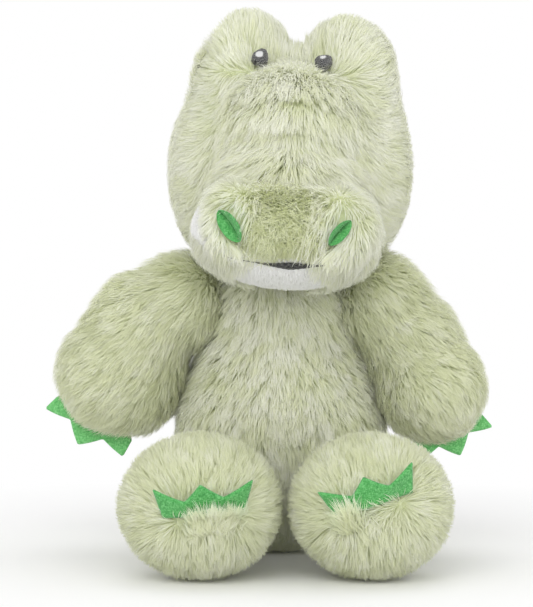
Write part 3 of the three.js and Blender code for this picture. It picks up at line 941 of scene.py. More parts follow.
def grown(
    surface: Surface,
    pile: Pile,
    flow: Field,
    seed: int,
    weight: Weight,
    trim: Weight,
    tone: Weight,
    clear_of: Sequence[tuple[Form, float]] = (),
    within: Form | None = None,
) -> Coat:
    """Grows a pile on a surface.

    A strand leaves the cloth at the root angle and bends over to the tip angle, along the flow
    laid into the cloth. It is drawn to the middle of its small tuft and, less, of its large
    lock, more so towards its tip. A tuft shares a turn, a length and a tone. The pile is combed
    down to its form, and what would enter a neighbour or the floor is pushed out of it.

    Args:
        surface: The cloth.
        pile: How it grows.
        flow: The comb's direction, for points and normals.
        seed: Which chance.
        weight: The share of strands kept, for points.
        trim: The share of the length left, for points.
        tone: A shift of the tone, for points.
        clear_of: Neighbours, each with the distance to keep from it.
        within: The form that the pile is combed down to.

    Returns:
        The strands.
    """
    rng = np.random.default_rng(seed)
    roots, normals = surface.sample(pile.density, weight, rng)
    count = len(roots)
    middle, shared = tufts(roots, pile.tuft, seed)
    far_middle, far_shared = tufts(roots, pile.lock, seed + 50)
    comb = flow(roots, normals)
    comb = comb - normals * dot(comb, normals)
    upright = RISE * (1.0 - np.minimum(np.linalg.norm(comb, axis=-1) / CALM, 1.0))
    comb = comb + BEND * drift(roots, SWING, seed)
    comb = unit(comb - normals * dot(comb, normals))
    turn = (shared[:, :1] - 0.5) * TUFT_TURN + (far_shared[:, :1] - 0.5) * LOCK_TURN
    comb = turned(comb, normals, turn + rng.normal(0.0, pile.wander_degrees, (count, 1)))
    length = pile.length * trim(roots) * (0.86 + 0.2 * shared[:, 1] + 0.12 * far_shared[:, 1])
    length *= rng.uniform(*LENGTHS, count)
    lean = rng.normal(0.0, STRAND_LEAN, count) + (far_shared[:, 2] - 0.5) * LOCK_LEAN + upright
    paths = [roots]
    pull_near = middle - roots
    pull_near -= normals * dot(pull_near, normals)
    pull_far = far_middle - roots
    pull_far -= normals * dot(pull_far, normals)
    heading = comb
    for step in range(pile.segments):
        share = (step + 0.5) / pile.segments
        bent = (pile.tip_degrees - pile.root_degrees) * share
        angle = np.radians(pile.root_degrees + bent + lean)
        if pile.curl_degrees:
            heading = turned(heading, normals, rng.normal(0.0, pile.curl_degrees, (count, 1)))
        way = heading * np.cos(angle)[:, None] + normals * np.sin(angle)[:, None]
        paths.append(paths[-1] + way * (length / pile.segments)[:, None])
    line = np.stack(paths, 1)
    share = np.linspace(0.0, 1.0, pile.segments + 1)[None, :, None]
    line += share**1.3 * (pull_near[:, None] * pile.gather + pull_far[:, None] * 0.1)
    flat = line[:, 1:].reshape(-1, 3)
    if within is not None:
        flat = within.held(flat, np.repeat(rng.uniform(-1.0, 1.0, count), pile.segments))
    for form, margin in clear_of:
        flat = form.pushed(flat, margin)
    lift = FLOOR_LIFT + LIFT_SPREAD * rng.random(len(flat))
    flat[:, 2] = np.maximum(flat[:, 2], lift)
    line[:, 1:] = flat.reshape(count, -1, 3)
    shade = 0.5 + TUFT_TONE * (shared[:, 2] - 0.5) + LOCK_TONE * (far_shared[:, 1] - 0.5)
    shade += rng.normal(0.0, STRAND_TONE, count) + tone(roots)
    widths = pile.width * rng.uniform(*WIDTHS, count)
    return Coat(roots, line, normals, np.clip(shade, 0.0, 0.999), widths)


def even(at: Array) -> Array:
    """One for every point."""
    return np.ones(len(at))


def none(at: Array) -> Array:
    """Zero for every point."""
    return np.zeros(len(at))


def pivot_of(joint: str) -> Array:
    """Where a joint of the solids lies, in millimetres."""
    found = next(j for j in frame["joints"] if j["name"] == joint)
    return np.array(found["pos_m"]) / MM


def dressed(
    made: bpy.types.Object, material: bpy.types.Material, body: str, node: str
) -> None:
    """Gives a piece its finish, its body and the solid that it stands for.

    Args:
        made: The piece.
        material: Its finish.
        body: The body that it rides on.
        node: The solid that it replaces.
    """
    made.data.materials.append(material)
    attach(made, body)
    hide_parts(node)
    log.info("%s: %d faces", made.name, len(made.data.polygons))


# How deep the cloth and the wadding lie below a form's surface.
CLOTH_INSET, WADDING_INSET = 7.0, 11.0
# How far a part's pile keeps from its neighbours and from the body: it may sink this deep.
NEIGHBOUR_GAP, BODY_GAP = -2.5, -4.0


@dataclass
class StuffedPart:
    """What every stuffed part shares: a form, a cloth surface, wadding and a coat."""

    name: str
    body: str
    seed: int
    rows: int = 72
    columns: int = 144

    def form(self) -> Form:
        """The part's form."""
        raise NotImplementedError

    def shaped(self, surface: Surface) -> Surface:
        """The surface with the dents that its neighbours press into it."""
        return surface

    def build_cloth(self, finishes: Finishes) -> Surface:
        """Makes the cloth and the wadding under it.

        Args:
            finishes: The toy's finishes.

        Returns:
            The cloth's surface, for its pile.
        """
        surface = self.shaped(shell_of(self.form(), CLOTH_INSET, self.rows, self.columns))
        cover = closed_shell(f"{self.name}_cloth", surface)
        dressed(cover, finishes.backing, self.body, f"{self.name}_skin")
        self.build_wadding(finishes)
        return surface

    def build_wadding(self, finishes: Finishes) -> None:
        """Makes the wadding: the form at its own depth, less slow lumps of up to 0.35 mm.

        Args:
            finishes: The toy's finishes.
        """
        inner = self.shaped(shell_of(self.form(), WADDING_INSET, self.rows // 2, self.columns // 2))
        flat, normals = inner.places.reshape(-1, 3), inner.normals.reshape(-1, 3)
        lumps = 0.4 + 0.35 * drift(flat, 17.0, self.seed)[:, :1]
        inner.places = (flat - normals * lumps).reshape(inner.places.shape)
        wad = closed_shell(f"{self.name}_wadding", inner)
        dressed(wad, finishes.wadding, self.body, f"{self.name}_filling")

    def build_halves(self, coat: Coat, limit: float, fur: bpy.types.Material) -> None:
        """Makes the pile's two pieces, one in front of a Y and one behind it.

        Args:
            coat: The part's strands.
            limit: Where they part.
            fur: Their finish.
        """
        front = coat.roots[:, 1] < limit
        coat.piece(f"{self.name}_fur_front", self.body, fur, front)
        coat.piece(f"{self.name}_fur_back", self.body, fur, ~front)


@dataclass
class Torso(StuffedPart):
    """The body: a belly and a chest, with a bag of pellets in the seat."""

    name: str = "body"
    body: str = "torso"
    seed: int = 11
    bag_top: float = 28.0

    def form(self) -> Form:
        """Two lobes, one above the other.

        Returns:
            The form.
        """
        pivot = pivot_of("head_turn") * np.array([1.0, 1.0, 0.0])
        lobes = [Lobe((0, 0, 57.0), (100, 90, 116)), Lobe((0, 0, 107), (69, 64, 96))]
        return Form(pivot, (0, 0, 87.0), (98, 90, 155), 5.0, lobes)

    def build_wadding(self, finishes: Finishes) -> None:
        """Makes the wadding above the bag and the bag itself, each cut flat where they meet.

        Args:
            finishes: The toy's finishes.
        """
        for name, node, material, slot in (
            ("body_wadding", "body_filling", finishes.wadding, "filling"),
            ("pellet_bag_cover", "pellet_bag", finishes.calico, "pellets"),
        ):
            inner = shell_of(self.form(), WADDING_INSET, 40, 64)
            z = inner.places[..., 2]
            if node == "pellet_bag":
                inner.places[..., 2] = np.minimum(z, self.bag_top - 0.1)
            else:
                inner.places[..., 2] = np.maximum(z, self.bag_top + 0.5)
            made = closed_shell(name, inner)
            dressed(made, material, self.body, node)

    def build(self, finishes: Finishes, limbs: Sequence[Form], head: Form) -> None:
        """Makes the cloth and its pile, which hangs down and a little outwards.

        Args:
            finishes: The toy's finishes.
            limbs: The forms that cover parts of the body.
            head: The head's form.
        """
        surface = self.build_cloth(finishes)
        pivot = self.form().pivot

        def flow(at: Array, normal: Array) -> Array:
            """Down, and a little away from the middle."""
            return (at - pivot) * np.array([0.008, 0.008, 0.0]) - UP

        def weight(at: Array) -> Array:
            """Thinner near the floor, and none deep under the limbs and the head.

            Args:
                at: Points.

            Returns:
                One share for each point.
            """
            seen = np.ones(len(at))
            for form in limbs:
                seen *= smooth(-9.0, -4.0, form.distance(at))
            seen *= smooth(-7.0, -3.0, head.distance(at))
            return seen * (0.35 + 0.65 * smooth(6.0, 14.0, at[:, 2]))

        def tone(at: Array) -> Array:
            """Painted shade: palest round a height of 100 mm, and darker towards the floor and up
            under the head, where shade falls.
            """
            return 0.27 - 0.12 * smooth(20.0, 70.0, np.abs(at[:, 2] - 100.0))

        neighbours = [(form, -3.5) for form in limbs] + [(head, -2.0)]
        pile = Pile(length=11.5, root_degrees=60.0, tip_degrees=20.0, tuft=4.4, wander_degrees=10.0)
        coat = grown(surface, pile, flow, self.seed, weight, even, tone, neighbours, self.form())
        self.build_halves(coat, pivot[1], finishes.fur)


def off_body(at: Array) -> Array:
    """The share of a limb's strands that grow at points: none deep inside the body."""
    return smooth(-8.0, -4.0, Torso().form().distance(at))


@dataclass(frozen=True)
class Bone:
    """One length of an arm: how far it reaches, out from straight down and then forward."""

    length: float
    splay_degrees: float
    forward_degrees: float = 0.0

    def reach(self, side: Side) -> Array:
        """The step from its start to its end, on one side of the toy.

        Args:
            side: Which side.

        Returns:
            A vector.
        """
        splay = math.radians(self.splay_degrees)
        down = np.array([[side.value * math.sin(splay), 0.0, -math.cos(splay)]])
        return turned(down, np.array([-1.0, 0.0, 0.0]), self.forward_degrees)[0] * self.length


@dataclass
class Arm(StuffedPart):
    """An arm: a ball at the shoulder, an elbow and a palm, with a strip of felt claws."""

    name: str = ""
    body: str = ""
    seed: int = 21
    side: Side = Side.RIGHT
    upper: Bone = Bone(24.5, 55.0)
    fore: Bone = Bone(23.0, 26.0, 6.0)
    elbow_size: Triple = (53.5, 54.0, 58.5)
    palm_size: Triple = (63.0, 54.0, 62.0)
    claw_turn: float = 31.0
    claw_spread: float = 40.0
    claw_root: float = 7.0
    claw_length: float = 7.0
    blend: float = 4.0

    @property
    def elbow(self) -> Array:
        """The elbow lobe's middle."""
        return self.upper.reach(self.side)

    @property
    def palm(self) -> Array:
        """The palm lobe's middle."""
        return self.elbow + self.fore.reach(self.side)

    def form(self) -> Form:
        """Three lobes along the arm.

        Returns:
            The form.
        """
        lobes = [
            Lobe((0, 0, 0), (49, 49, 49)),
            Lobe(tuple(self.elbow), self.elbow_size),
            Lobe(tuple(self.palm), self.palm_size),
        ]
        heart = tuple(self.elbow + (self.palm - self.elbow) * 0.35)
        pivot = pivot_of(f"{self.side.word}_arm_swing")
        return Form(pivot, heart, (52, 54, 108), self.blend, lobes)

    def shaped(self, surface: Surface) -> Surface:
        """Outside its own ball, the arm lies against the body and not in it.

        Args:
            surface: The plain surface.

        Returns:
            The surface with this dent.
        """
        flat = surface.places.reshape(-1, 3)
        beyond = smooth(22.0, 32.0, np.linalg.norm(flat - self.form().pivot, axis=-1))
        pushed = Torso().form().pushed(flat, 0.5, beyond)
        surface.places = pushed.reshape(surface.places.shape)
        return surface

    def stations(self, place: Array) -> tuple[Array, Array]:
        """Where the claws' strip has its root: rays fanned from the palm's middle meet its rim,
        and the root lies a little inside it.

        Args:
            place: Places along the strip, from 0 to 1.

        Returns:
            Points below the rim, and the directions in which the strip stands out.
        """
        form = self.form()
        turn = np.radians(self.claw_turn + self.claw_spread * (1.0 - 2.0 * place))
        out = np.stack([self.side.value * np.sin(turn), 0.0 * turn, -np.cos(turn)], -1)
        rim = form.along(form.placed(self.palm), out, 0.0)
        return rim - out * self.claw_root, out

    def build(self, finishes: Finishes, neighbours: Sequence[Form]) -> None:
        """Makes the cloth, its pile, which runs down to the hand, and the claws.

        Args:
            finishes: The toy's finishes.
            neighbours: The forms that the pile keeps out of.
        """
        surface = self.build_cloth(finishes)
        form, torso = self.form(), Torso().form()
        along = unit(self.palm[None])[0] + np.array([self.side.value * 0.25, 0.0, -0.1])
        root, out = self.stations(np.linspace(0.0, 1.0, 13))
        seam = root + out * 4.0
        close = 0.7 + 0.2 * self.side.value

        def flow(at: Array, normal: Array) -> Array:
            """Down to the hand, and a little outwards."""
            return along + np.zeros_like(at)

        def trim(at: Array) -> Array:
            """Shorter near the claws' seam."""
            gap = np.linalg.norm(at[:, None] - seam[None], axis=-1).min(1)
            return close + (1.0 - close) * smooth(4.0, 15.0, gap)

        clear_of = [(other, NEIGHBOUR_GAP) for other in neighbours] + [(torso, BODY_GAP)]
        pile = Pile(length=12.5, root_degrees=57.0, tip_degrees=14.0, tuft=4.2, wander_degrees=9.0)
        coat = grown(surface, pile, flow, self.seed, off_body, trim, none, clear_of, form)
        self.build_halves(coat, form.pivot[1] - 6.0, finishes.fur)
        self.build_claws(finishes)

    def build_claws(self, finishes: Finishes) -> None:
        """Makes the strip of three points: a root line, and how far the felt rises from it.

        Args:
            finishes: The toy's finishes.
        """
        place = np.linspace(0.0, 1.0, 57)
        root, out = self.stations(place)
        rise = self.claw_root + 0.5 + self.claw_length * points_of(place, HAND_POINTS)
        strip = felt_strip(root, out, rise, np.broadcast_to(FRONT, out.shape), 0.7, self.seed)
        # Its felt is painted paler than the feet's, for light on the claws.
        made = slab(f"{self.side.word}_hand_felt", *strip)
        dressed(made, finishes.hand_felt, self.body, f"{self.side.word}_hand_claws")


# The places of the claws' points, 1, and of the valleys between them, 0, along their strips.
HAND_POINTS = ((0, 0), (0.06, 1), (0.28, 0), (0.49, 1), (0.69, 0), (0.9, 1), (1, 0))
FOOT_POINTS = ((0, 0.87), (0.3, 0), (0.47, 1), (0.7, 0), (1, 0.87))
HALF_FELT = 1.1


def points_of(place: Array, stops: Sequence[tuple[float, float]]) -> Array:
    """How far claws rise along a strip, from 0 to 1: straight between its stops, each a place and
    a rise, then a power of 1.15, so that the edges of each claw are a little hollow."""
    at, high = np.array(stops).T
    return np.interp(place, at, high) ** 1.15


def felt_strip(
    root: Array, out: Array, rise: Array, thick: Array, wave: float, seed: int
) -> tuple[Array, Array]:
    """A strip of felt between its root line and its cut edge, thinner at its rims.

    A point of the strip is root + out · rise · share, plus a slow wave and half the felt's
    thickness, times a share that falls to 0.5 at the rims.

    Args:
        root: The root line.
        out: The direction in which it stands out at each place.
        rise: How far it stands out.
        thick: The direction of its front at each place.
        wave: How far it waves.
        seed: Which wave.

    Returns:
        The front and the back grid.
    """
    shares = np.array([0.0, 0.12, 0.3, 0.5, 0.7, 0.85, 0.95, 1.0])
    at = root[None] + out[None] * (rise * shares[:, None])[..., None]
    bend = drift(at.reshape(-1, 3), 24.0, seed)[:, :1].reshape(*at.shape[:2], 1) * wave
    rows = np.array([0.8, 1.0, 1.0, 1.0, 1.0, 0.95, 0.85, 0.5])
    columns = np.ones(len(root))
    columns[[0, -1]], columns[[1, -2]] = 0.5, 0.85
    half = HALF_FELT * (rows[:, None] * columns)[..., None]
    return at + thick[None] * (bend + half), at + thick[None] * (bend - half)


@dataclass
class Leg(StuffedPart):
    """A leg: a ball at the hip, a shin and a round foot, with felt claws in its toe seam."""

    name: str = ""
    body: str = ""
    seed: int = 31
    side: Side = Side.RIGHT
    claw_turn: float = 6.0
    claw_spread: float = 36.0
    claw_seat: float = 4.0
    claw_valley: float = 6.5
    claw_length: float = 7.0
    claw_lean: float = 2.5
    claw_roll: float = -5.0
    claw_lift: float = 0.0
    toe_middle: float = 0.6
    toe_half: float = 0.3
    toe_length: float = 13.5

    @property
    def foot(self) -> Array:
        """The foot lobe's middle."""
        return np.array([self.side.value * 9.5 + 2.0, -47.5, 1.25])

    def form(self) -> Form:
        """Three lobes along the leg.

        Returns:
            The form.
        """
        shin = tuple(self.foot * 0.68)
        lobes = [
            Lobe((0, 0, 0), (47, 47, 47)),
            Lobe(shin, (52, 46, 48)),
            Lobe(tuple(self.foot), (73, 66, 65.5)),
        ]
        return Form(pivot_of(f"{self.side.word}_leg_swing"), shin, (73, 113.5, 65.5), 4.0, lobes)

    def strip(self, place: Array) -> tuple[Array, Array, Array]:
        """The claws' strip: rays fanned from the foot's middle meet it at the toe seam.

        Args:
            place: Places along the strip, from 0 to 1.

        Returns:
            Seam points, outward directions and the one upward direction.
        """
        form = self.form()
        turn = np.radians(self.claw_turn + self.claw_spread * (2.0 * place - 1.0))
        out = np.stack([np.sin(turn), -np.cos(turn), 0.0 * turn], -1)
        back = np.array([0.0, 1.0, 0.0])
        out = turned(out, back, self.claw_roll)
        up = turned(UP[None], back, self.claw_roll)[0]
        return form.along(form.placed(self.foot) + UP * self.claw_lift, out, 0.0), out, up

    def rise(self, place: Array) -> Array:
        """How far the claws stand up from the seam at places along the strip."""
        return self.claw_valley + self.claw_length * points_of(place, FOOT_POINTS)

    def beside_felt(self, at: Array) -> tuple[Array, Array, Array, Array]:
        """Where points lie by the strip.

        Args:
            at: Points.

        Returns:
            For each point the strip's nearest place, how high above its seam it lies, how far
            in front of it, and the way out there.
        """
        seam, out, up = self.strip(np.linspace(0.0, 1.0, 25))
        nearest = np.argmin(np.linalg.norm(at[:, None, :2] - seam[None, :, :2], axis=-1), 1)
        offset = at - seam[nearest]
        return nearest / 24.0, offset @ up, (offset * out[nearest]).sum(-1), out[nearest]

    def behind_felt(self, coat: Coat) -> None:
        """Sets strands back that would come through the strip from behind. Those that start
        below its seam may stand in front of it.

        Args:
            coat: The leg's strands.
        """
        _, low, _, _ = self.beside_felt(coat.roots)
        flat = coat.paths[:, 1:].reshape(-1, 3)
        place, high, proud, out = self.beside_felt(flat)
        inner = (place > 0.0) & (place < 1.0) & (high > -2.0) & (high < self.rise(place))
        inner &= np.repeat(low > -1.5, coat.paths.shape[1] - 1)
        behind = -2.0 * HALF_FELT
        back = np.where(inner & (proud > behind), behind - proud, 0.0)
        coat.paths[:, 1:] = (flat + out * back[:, None]).reshape(len(coat.paths), -1, 3)

    def build(self, finishes: Finishes, neighbours: Sequence[Form]) -> None:
        """Makes the cloth, the pile, which spreads from the claws' seam, and the claws.

        Args:
            finishes: The toy's finishes.
            neighbours: The forms that the pile keeps out of.
        """
        surface = self.build_cloth(finishes)
        form, torso = self.form(), Torso().form()
        line, _, up = self.strip(np.linspace(0.2, 0.8, 13))
        line = line - up * 3.5

        def flow(at: Array, normal: Array) -> Array:
            """Away from the claws' seam, and a little down."""
            nearest = np.argmin(np.linalg.norm(at[:, None] - line[None], axis=-1), 1)
            return (at - line[nearest]) / 14.0 + np.array([0.0, 0.0, -0.12])

        def weight(at: Array) -> Array:
            """Thinner on the sole."""
            return off_body(at) * (0.35 + 0.65 * smooth(4.0, 11.0, at[:, 2]))

        clear_of = [(other, NEIGHBOUR_GAP) for other in neighbours] + [(torso, BODY_GAP)]
        pile = Pile(2.6, 10.8, 0.48, 64.0, 24.0, tuft=4.8, gather=0.55, wander_degrees=12.0)
        coat = grown(surface, pile, flow, self.seed, weight, even, none, clear_of, form)
        self.behind_felt(coat)
        self.build_toes(surface, finishes)
        self.build_halves(coat, form.placed(self.foot)[1] - 8.0, finishes.fur)
        self.build_claws(finishes)

    def build_toes(self, surface: Surface, finishes: Finishes) -> None:
        """Makes the tufts that stand up from below the seam and hang over the felt's lower edge.

        Args:
            surface: The leg's cloth.
            finishes: The toy's finishes.
        """
        _, _, up = self.strip(np.array([0.5]))

        def flow(at: Array, normal: Array) -> Array:
            """Up, as the claws stand."""
            return np.broadcast_to(up, at.shape)

        def weight(at: Array) -> Array:
            """A short band below the seam.

            Args:
                at: Points.

            Returns:
                One share for each point.
            """
            place, high, proud, _ = self.beside_felt(at)
            near = smooth(self.toe_half, self.toe_half * 0.55, np.abs(place - self.toe_middle))
            near *= (high < -2.8) & (high > -10.0) & (np.abs(proud) < 16.0)
            return near

        pile = Pile(8.0, self.toe_length, 0.5, 78.0, 2.0, 4.4, 9.0, 0.7, 17.0, 7.0)
        coat = grown(surface, pile, flow, self.seed + 3, weight, even, none)
        flat = coat.paths[:, 1:].reshape(-1, 3)
        _, high, proud, out = self.beside_felt(flat)
        rng = np.random.default_rng(self.seed)
        least = 2.3 + 0.19 * high + rng.uniform(0.0, 0.8, len(flat))
        ahead = np.where(high > -1.2, np.maximum(least - proud, 0.0), 0.0)
        coat.paths[:, 1:] = (flat + out * ahead[:, None]).reshape(len(coat.paths), -1, 3)
        coat.piece(f"{self.name}_fur_toes", self.body, finishes.fur)

    def build_claws(self, finishes: Finishes) -> None:
        """Makes the strip of three points: from inside the seam to a line that rises above it
        and leans out in proportion.

        Args:
            finishes: The toy's finishes.
        """
        place = np.linspace(0.0, 1.0, 57)
        seam, out, up = self.strip(place)
        rise = self.rise(place)
        root = seam - out * self.claw_seat
        lean = self.claw_lean * rise / (self.claw_valley + self.claw_length)
        tip = seam + up * rise[:, None] + out * lean[:, None]
        way = unit(tip - root)
        across = np.cross(np.broadcast_to(up, out.shape), out)
        thick = unit(np.cross(way, across))
        thick *= np.sign(dot(thick, out))
        reach = np.linalg.norm(tip - root, axis=-1)
        strip = felt_strip(root, way, reach, thick, 0.5, self.seed)
        made = slab(f"{self.side.word}_foot_felt", *strip)
        dressed(made, finishes.felt, self.body, f"{self.side.word}_foot_claws")


@dataclass
class Tail(StuffedPart):
    """The tail: a ball at the rump, a middle and a tip."""

    name: str = "tail"
    body: str = "tail"
    seed: int = 41

    def form(self) -> Form:
        """Three lobes that run back along the floor.

        Returns:
            The form.
        """
        lobes = [
            Lobe((0, 0, 0), (42, 42, 42)),
            Lobe((0, 31, -9), (37, 50, 37)),
            Lobe((0, 60, -15.5), (22, 40, 23)),
        ]
        return Form(pivot_of("tail_wag"), (0, 31, -9), (37, 100, 37), 7.0, lobes)

    def build(self, finishes: Finishes) -> None:
        """Makes the cloth and its pile, which runs back to the tip.

        Args:
            finishes: The toy's finishes.
        """
        surface = self.build_cloth(finishes)
        clear_of = [(Torso().form(), BODY_GAP)]

        def flow(at: Array, normal: Array) -> Array:
            """Back to the tip, and a little down."""
            return np.array([0.0, 1.0, -0.15]) + np.zeros_like(at)

        coat = grown(
            surface, Pile(), flow, self.seed, off_body, even, none, clear_of, self.form()
        )
        coat.piece("tail_fur", self.body, finishes.fur)


# The folds over the bridge: how high each lies and how far it reaches up.
FOLDS = ((98.5, 6.0), (85.5, 8.0))
# Round each nostril the comb spreads by a share and bends by a vector.
NOSTRIL_COMB = {Side.RIGHT: (0.6, (0.1, 0.0, -0.5)), Side.LEFT: (0.2, (-2.2, 0.0, -0.6))}


@dataclass
class Head(StuffedPart):
    """The head: skull, cheeks, two brows with the eyes, a bridge, a snout and its nostrils."""

    name: str = "head"
    body: str = "head"
    seed: int = 51
    rows: int = 128
    columns: int = 256
    lip_slope: float = 50.0
    lip_front: float = 88.0
    lip_height: float = 23.5
    throat: float = 44.0
    underside: float = 147.0
    lip_top: float = 62.0
    eye_out: float = 14.2
    eye_aside: float = -2.3
    eye_up: float = 121.0
    eye_half: tuple[float, float] = (3.7, 4.2)
    eye_dome: float = 1.5
    felt_out: float = 25.5
    felt_up: float = 43.0
    felt_tilt: float = 38.0
    leaf: tuple[float, float] = (8.9, 4.6)
    opening: tuple[float, float] = (9.4, 5.2)
    dent: tuple[float, float] = (10.0, 6.2)
    dent_depth: float = 3.5
    leaf_depth: float = 3.8
    leaf_thick: float = 1.9
    chin_depths: tuple[float, float] = (4.4, 6.8)
    mouth_turns: tuple[float, float] = (-20.0, 28.0)
    mouth_half: tuple[float, float] = (0.8, 1.4)
    _form: Form | None = field(default=None, repr=False)

    def form(self) -> Form:
        """Eleven lobes, rolled a little to the toy's left.

        Returns:
            The form.
        """
        if self._form is None:
            lobes = [
                Lobe((0, 4, 74), (106, 84, 104)),
                Lobe((0, -24, 82), (74, 56, 74)),
                Lobe((0, -28, 56), (72, 84, 66)),
                Lobe((0, -54, 43), (84, 78, 48)),
                Lobe((0, -48, 35), (85, 70, 44)),
            ]
            for side in (-1, 1):
                lobes.append(Lobe((side * 28, -7, 68), (56, 62, 88)))
                lobes.append(Lobe((side * 23, 0, 108), (51, 52, 70)))
                lobes.append(Lobe((side * 23, -73, 46), (35, 36, 38)))
            pivot = pivot_of("head_turn")
            self._form = Form(pivot, (0, -22, 62), (106, 84, 104), 3.5, lobes, 3.5, (0, -34, -14))
        return self._form

    def shaped(self, surface: Surface) -> Surface:
        """The neck sits on the body, the underside clears the shoulders, and each nostril is
        pressed in within an oval.

        Args:
            surface: The plain surface.

        Returns:
            The surface with these dents.
        """
        flat = Torso().form().pushed(surface.places.reshape(-1, 3), -5.5)
        behind = smooth(self.throat + 4.0, self.throat - 6.0, -flat[:, 1])
        flat[:, 2] += np.maximum(self.underside - flat[:, 2], 0.0) * behind
        for side in Side:
            spot, out, along, across = self.nostril(side)
            offset = flat - spot
            oval = np.hypot(offset @ along / self.dent[0], offset @ across / self.dent[1])
            near = smooth(1.25, 0.8, oval) * (np.abs(offset @ out) < 16.0)
            flat -= out * (self.dent_depth * near)[:, None]
        surface.places = flat.reshape(surface.places.shape)
        return surface

    @property
    def lip_down(self) -> Array:
        """The normal of the lip's plane, down and back."""
        slope = math.radians(self.lip_slope)
        return self.form().way(np.array([0.0, math.sin(slope), -math.cos(slope)]))

    def under_lip(self, at: Array) -> Array:
        """How far points lie inside the white cloth's region, below zero outside it.

        Args:
            at: Points.

        Returns:
            The least distance to the lip's plane, the throat and the region's upper end.
        """
        local = self.form().local(at)
        ends = np.minimum(-local[:, 1] - self.throat, self.lip_top - local[:, 2])
        return np.minimum(self.below_lip(at), ends)

    def below_lip(self, at: Array) -> Array:
        """How far points lie under the lip's plane."""
        lip = self.form().placed(np.array([0.0, -self.lip_front, self.lip_height]))
        return (at - lip) @ self.lip_down

    def eye(self, side: Side) -> tuple[Array, Array]:
        """An eye's middle on the form's surface, and the way out there.

        Args:
            side: Which eye.

        Returns:
            A point and a direction.
        """
        form = self.form()
        aside = side.value * self.eye_out + self.eye_aside
        start = form.placed(np.array([[aside, 0.0, self.eye_up]]))
        at = form.along(start, FRONT[None], 0.0)
        return at[0], form.outward(at)[0]

    def leaf_size(self, side: Side) -> float:
        """A nostril leaf's size as a share of the cut felt, whose rim the fur hides."""
        return 0.865 - 0.065 * side.value

    def nostril(self, side: Side) -> tuple[Array, Array, Array, Array]:
        """A nostril leaf's middle, and its ways out, along and across. The left one lies 2.2 mm
        nearer to the middle.

        Args:
            side: Which nostril.

        Returns:
            A point and three directions.
        """
        form = self.form()
        aside = side.value * self.felt_out - 1.1 * (1 + side.value)
        start = form.placed(np.array([[aside, -54.0, self.felt_up]]))
        at = form.along(start, FRONT[None], 2.5)
        out = form.outward(at)[0]
        tilt = math.radians(self.felt_tilt)
        along = form.way(np.array([side.value * math.sin(tilt), 0.0, math.cos(tilt)]))
        along = unit((along - out * (along @ out))[None])[0]
        return at[0], out, along, np.cross(along, out)

    def flow(self, at: Array, normal: Array) -> Array:
        """The head's comb: up and out over the brows, down the bridge and the snout, outwards
        over the cheeks and down the back, with a whorl round each eye.

        Each zone's direction is mixed in by smooth steps of the place. Bell curves of the
        distance to an eye or a nostril spread the comb there, and near the lip it turns down.

        Args:
            at: Points.
            normal: Their normals.

        Returns:
            A direction for each point.
        """
        form = self.form()
        local = form.local(at)
        x, ahead, up = local[:, :1], -local[:, 1:2], local[:, 2:]
        side = np.tanh(x / 10.0)
        ones = np.ones_like(x)
        down = np.concatenate([0.008 * x + 0.2 * smooth(-6.0, -24.0, x), -0.35 * ones, -ones], 1)
        rising = np.concatenate([0.35 * side, 0.5 * ones, ones], 1)
        climb = -0.6 + 0.9 * smooth(50.0, 112.0, up) + 0.32 * smooth(-10.0, 10.0, x)
        cheek = np.concatenate([side, -0.1 * ones, climb], 1)
        back = np.concatenate([0.1 * side, 0.0 * ones, -ones], 1)
        tip = np.concatenate([x / 26.0, -0.5 * ones, (up - 50.0) / 30.0 - 0.8], 1)
        soft = smooth(-6.0, 10.0, x)
        over = smooth(111.5 - 6.0 * soft, 113.5 + 5.0 * soft, up)
        outer = smooth(24.0, 38.0, np.abs(x + 3.0)) * smooth(44.0, 24.0, ahead)
        rear = smooth(-10.0, -26.0, ahead)
        muzzle = smooth(70.0, 84.0, ahead)
        comb = unit(down) * (1 - over) + unit(rising) * over
        comb = comb * (1 - outer) + unit(cheek) * outer
        comb = comb * (1 - rear) + back * rear
        comb = comb * (1 - muzzle) + unit(tip) * muzzle
        comb = form.way(comb)
        for each in Side:
            middle, _ = self.eye(each)
            offset = at - (middle - form.way(np.array([2.0, 0.0, 6.5])))
            gap = np.linalg.norm(offset, axis=-1, keepdims=True)
            spread = unit(offset) * np.array([0.35, 1.0, 1.0])
            comb = comb + spread * 1.5 * np.exp(-((gap / 11.0) ** 2))
            offset = at - self.nostril(each)[0]
            gap = np.linalg.norm(offset, axis=-1, keepdims=True)
            spread, towards = NOSTRIL_COMB[each]
            aside = unit(offset) * spread + form.way(np.array(towards))
            comb = comb + aside * np.exp(-((gap / 13.0) ** 2))
        above = np.maximum(-self.below_lip(at), 0.0)[:, None]
        near = np.exp(-above / 8.0) * smooth(30.0, 44.0, ahead)
        hang = near * (1.2 + 2.4 * smooth(10.0, 20.0, np.abs(x)))
        return comb * (1.0 - 0.5 * near) + self.lip_down * hang

    def leaf_share(self, at: Array, side: Side, reach: tuple[float, float]) -> Array:
        """How far points lie from a nostril's middle, as a share of an oval round it.

        Args:
            at: Points.
            side: Which nostril.
            reach: The oval's half length and half width round the whole cut felt.

        Returns:
            1 on the oval, and 9 well in front of it or behind it.
        """
        spot, out, along, across = self.nostril(side)
        offset, size = at - spot, self.leaf_size(side)
        oval = np.hypot(offset @ along / (reach[0] * size), offset @ across / (reach[1] * size**2))
        return np.where(np.abs(offset @ out) < 14.0, oval, 9.0)

    def openings(self, at: Array) -> Array:
        """How far points lie outside the eyes and nostrils, as a share of each one's size.

        Args:
            at: Points.

        Returns:
            Below 1 inside an eye or a nostril, and at most 9.
        """
        least = np.full(len(at), 9.0)
        for side in Side:
            middle, _ = self.eye(side)
            least = np.minimum(least, np.linalg.norm(at - middle, axis=-1) / 6.6)
            least = np.minimum(least, self.leaf_share(at, side, self.opening))
        return least

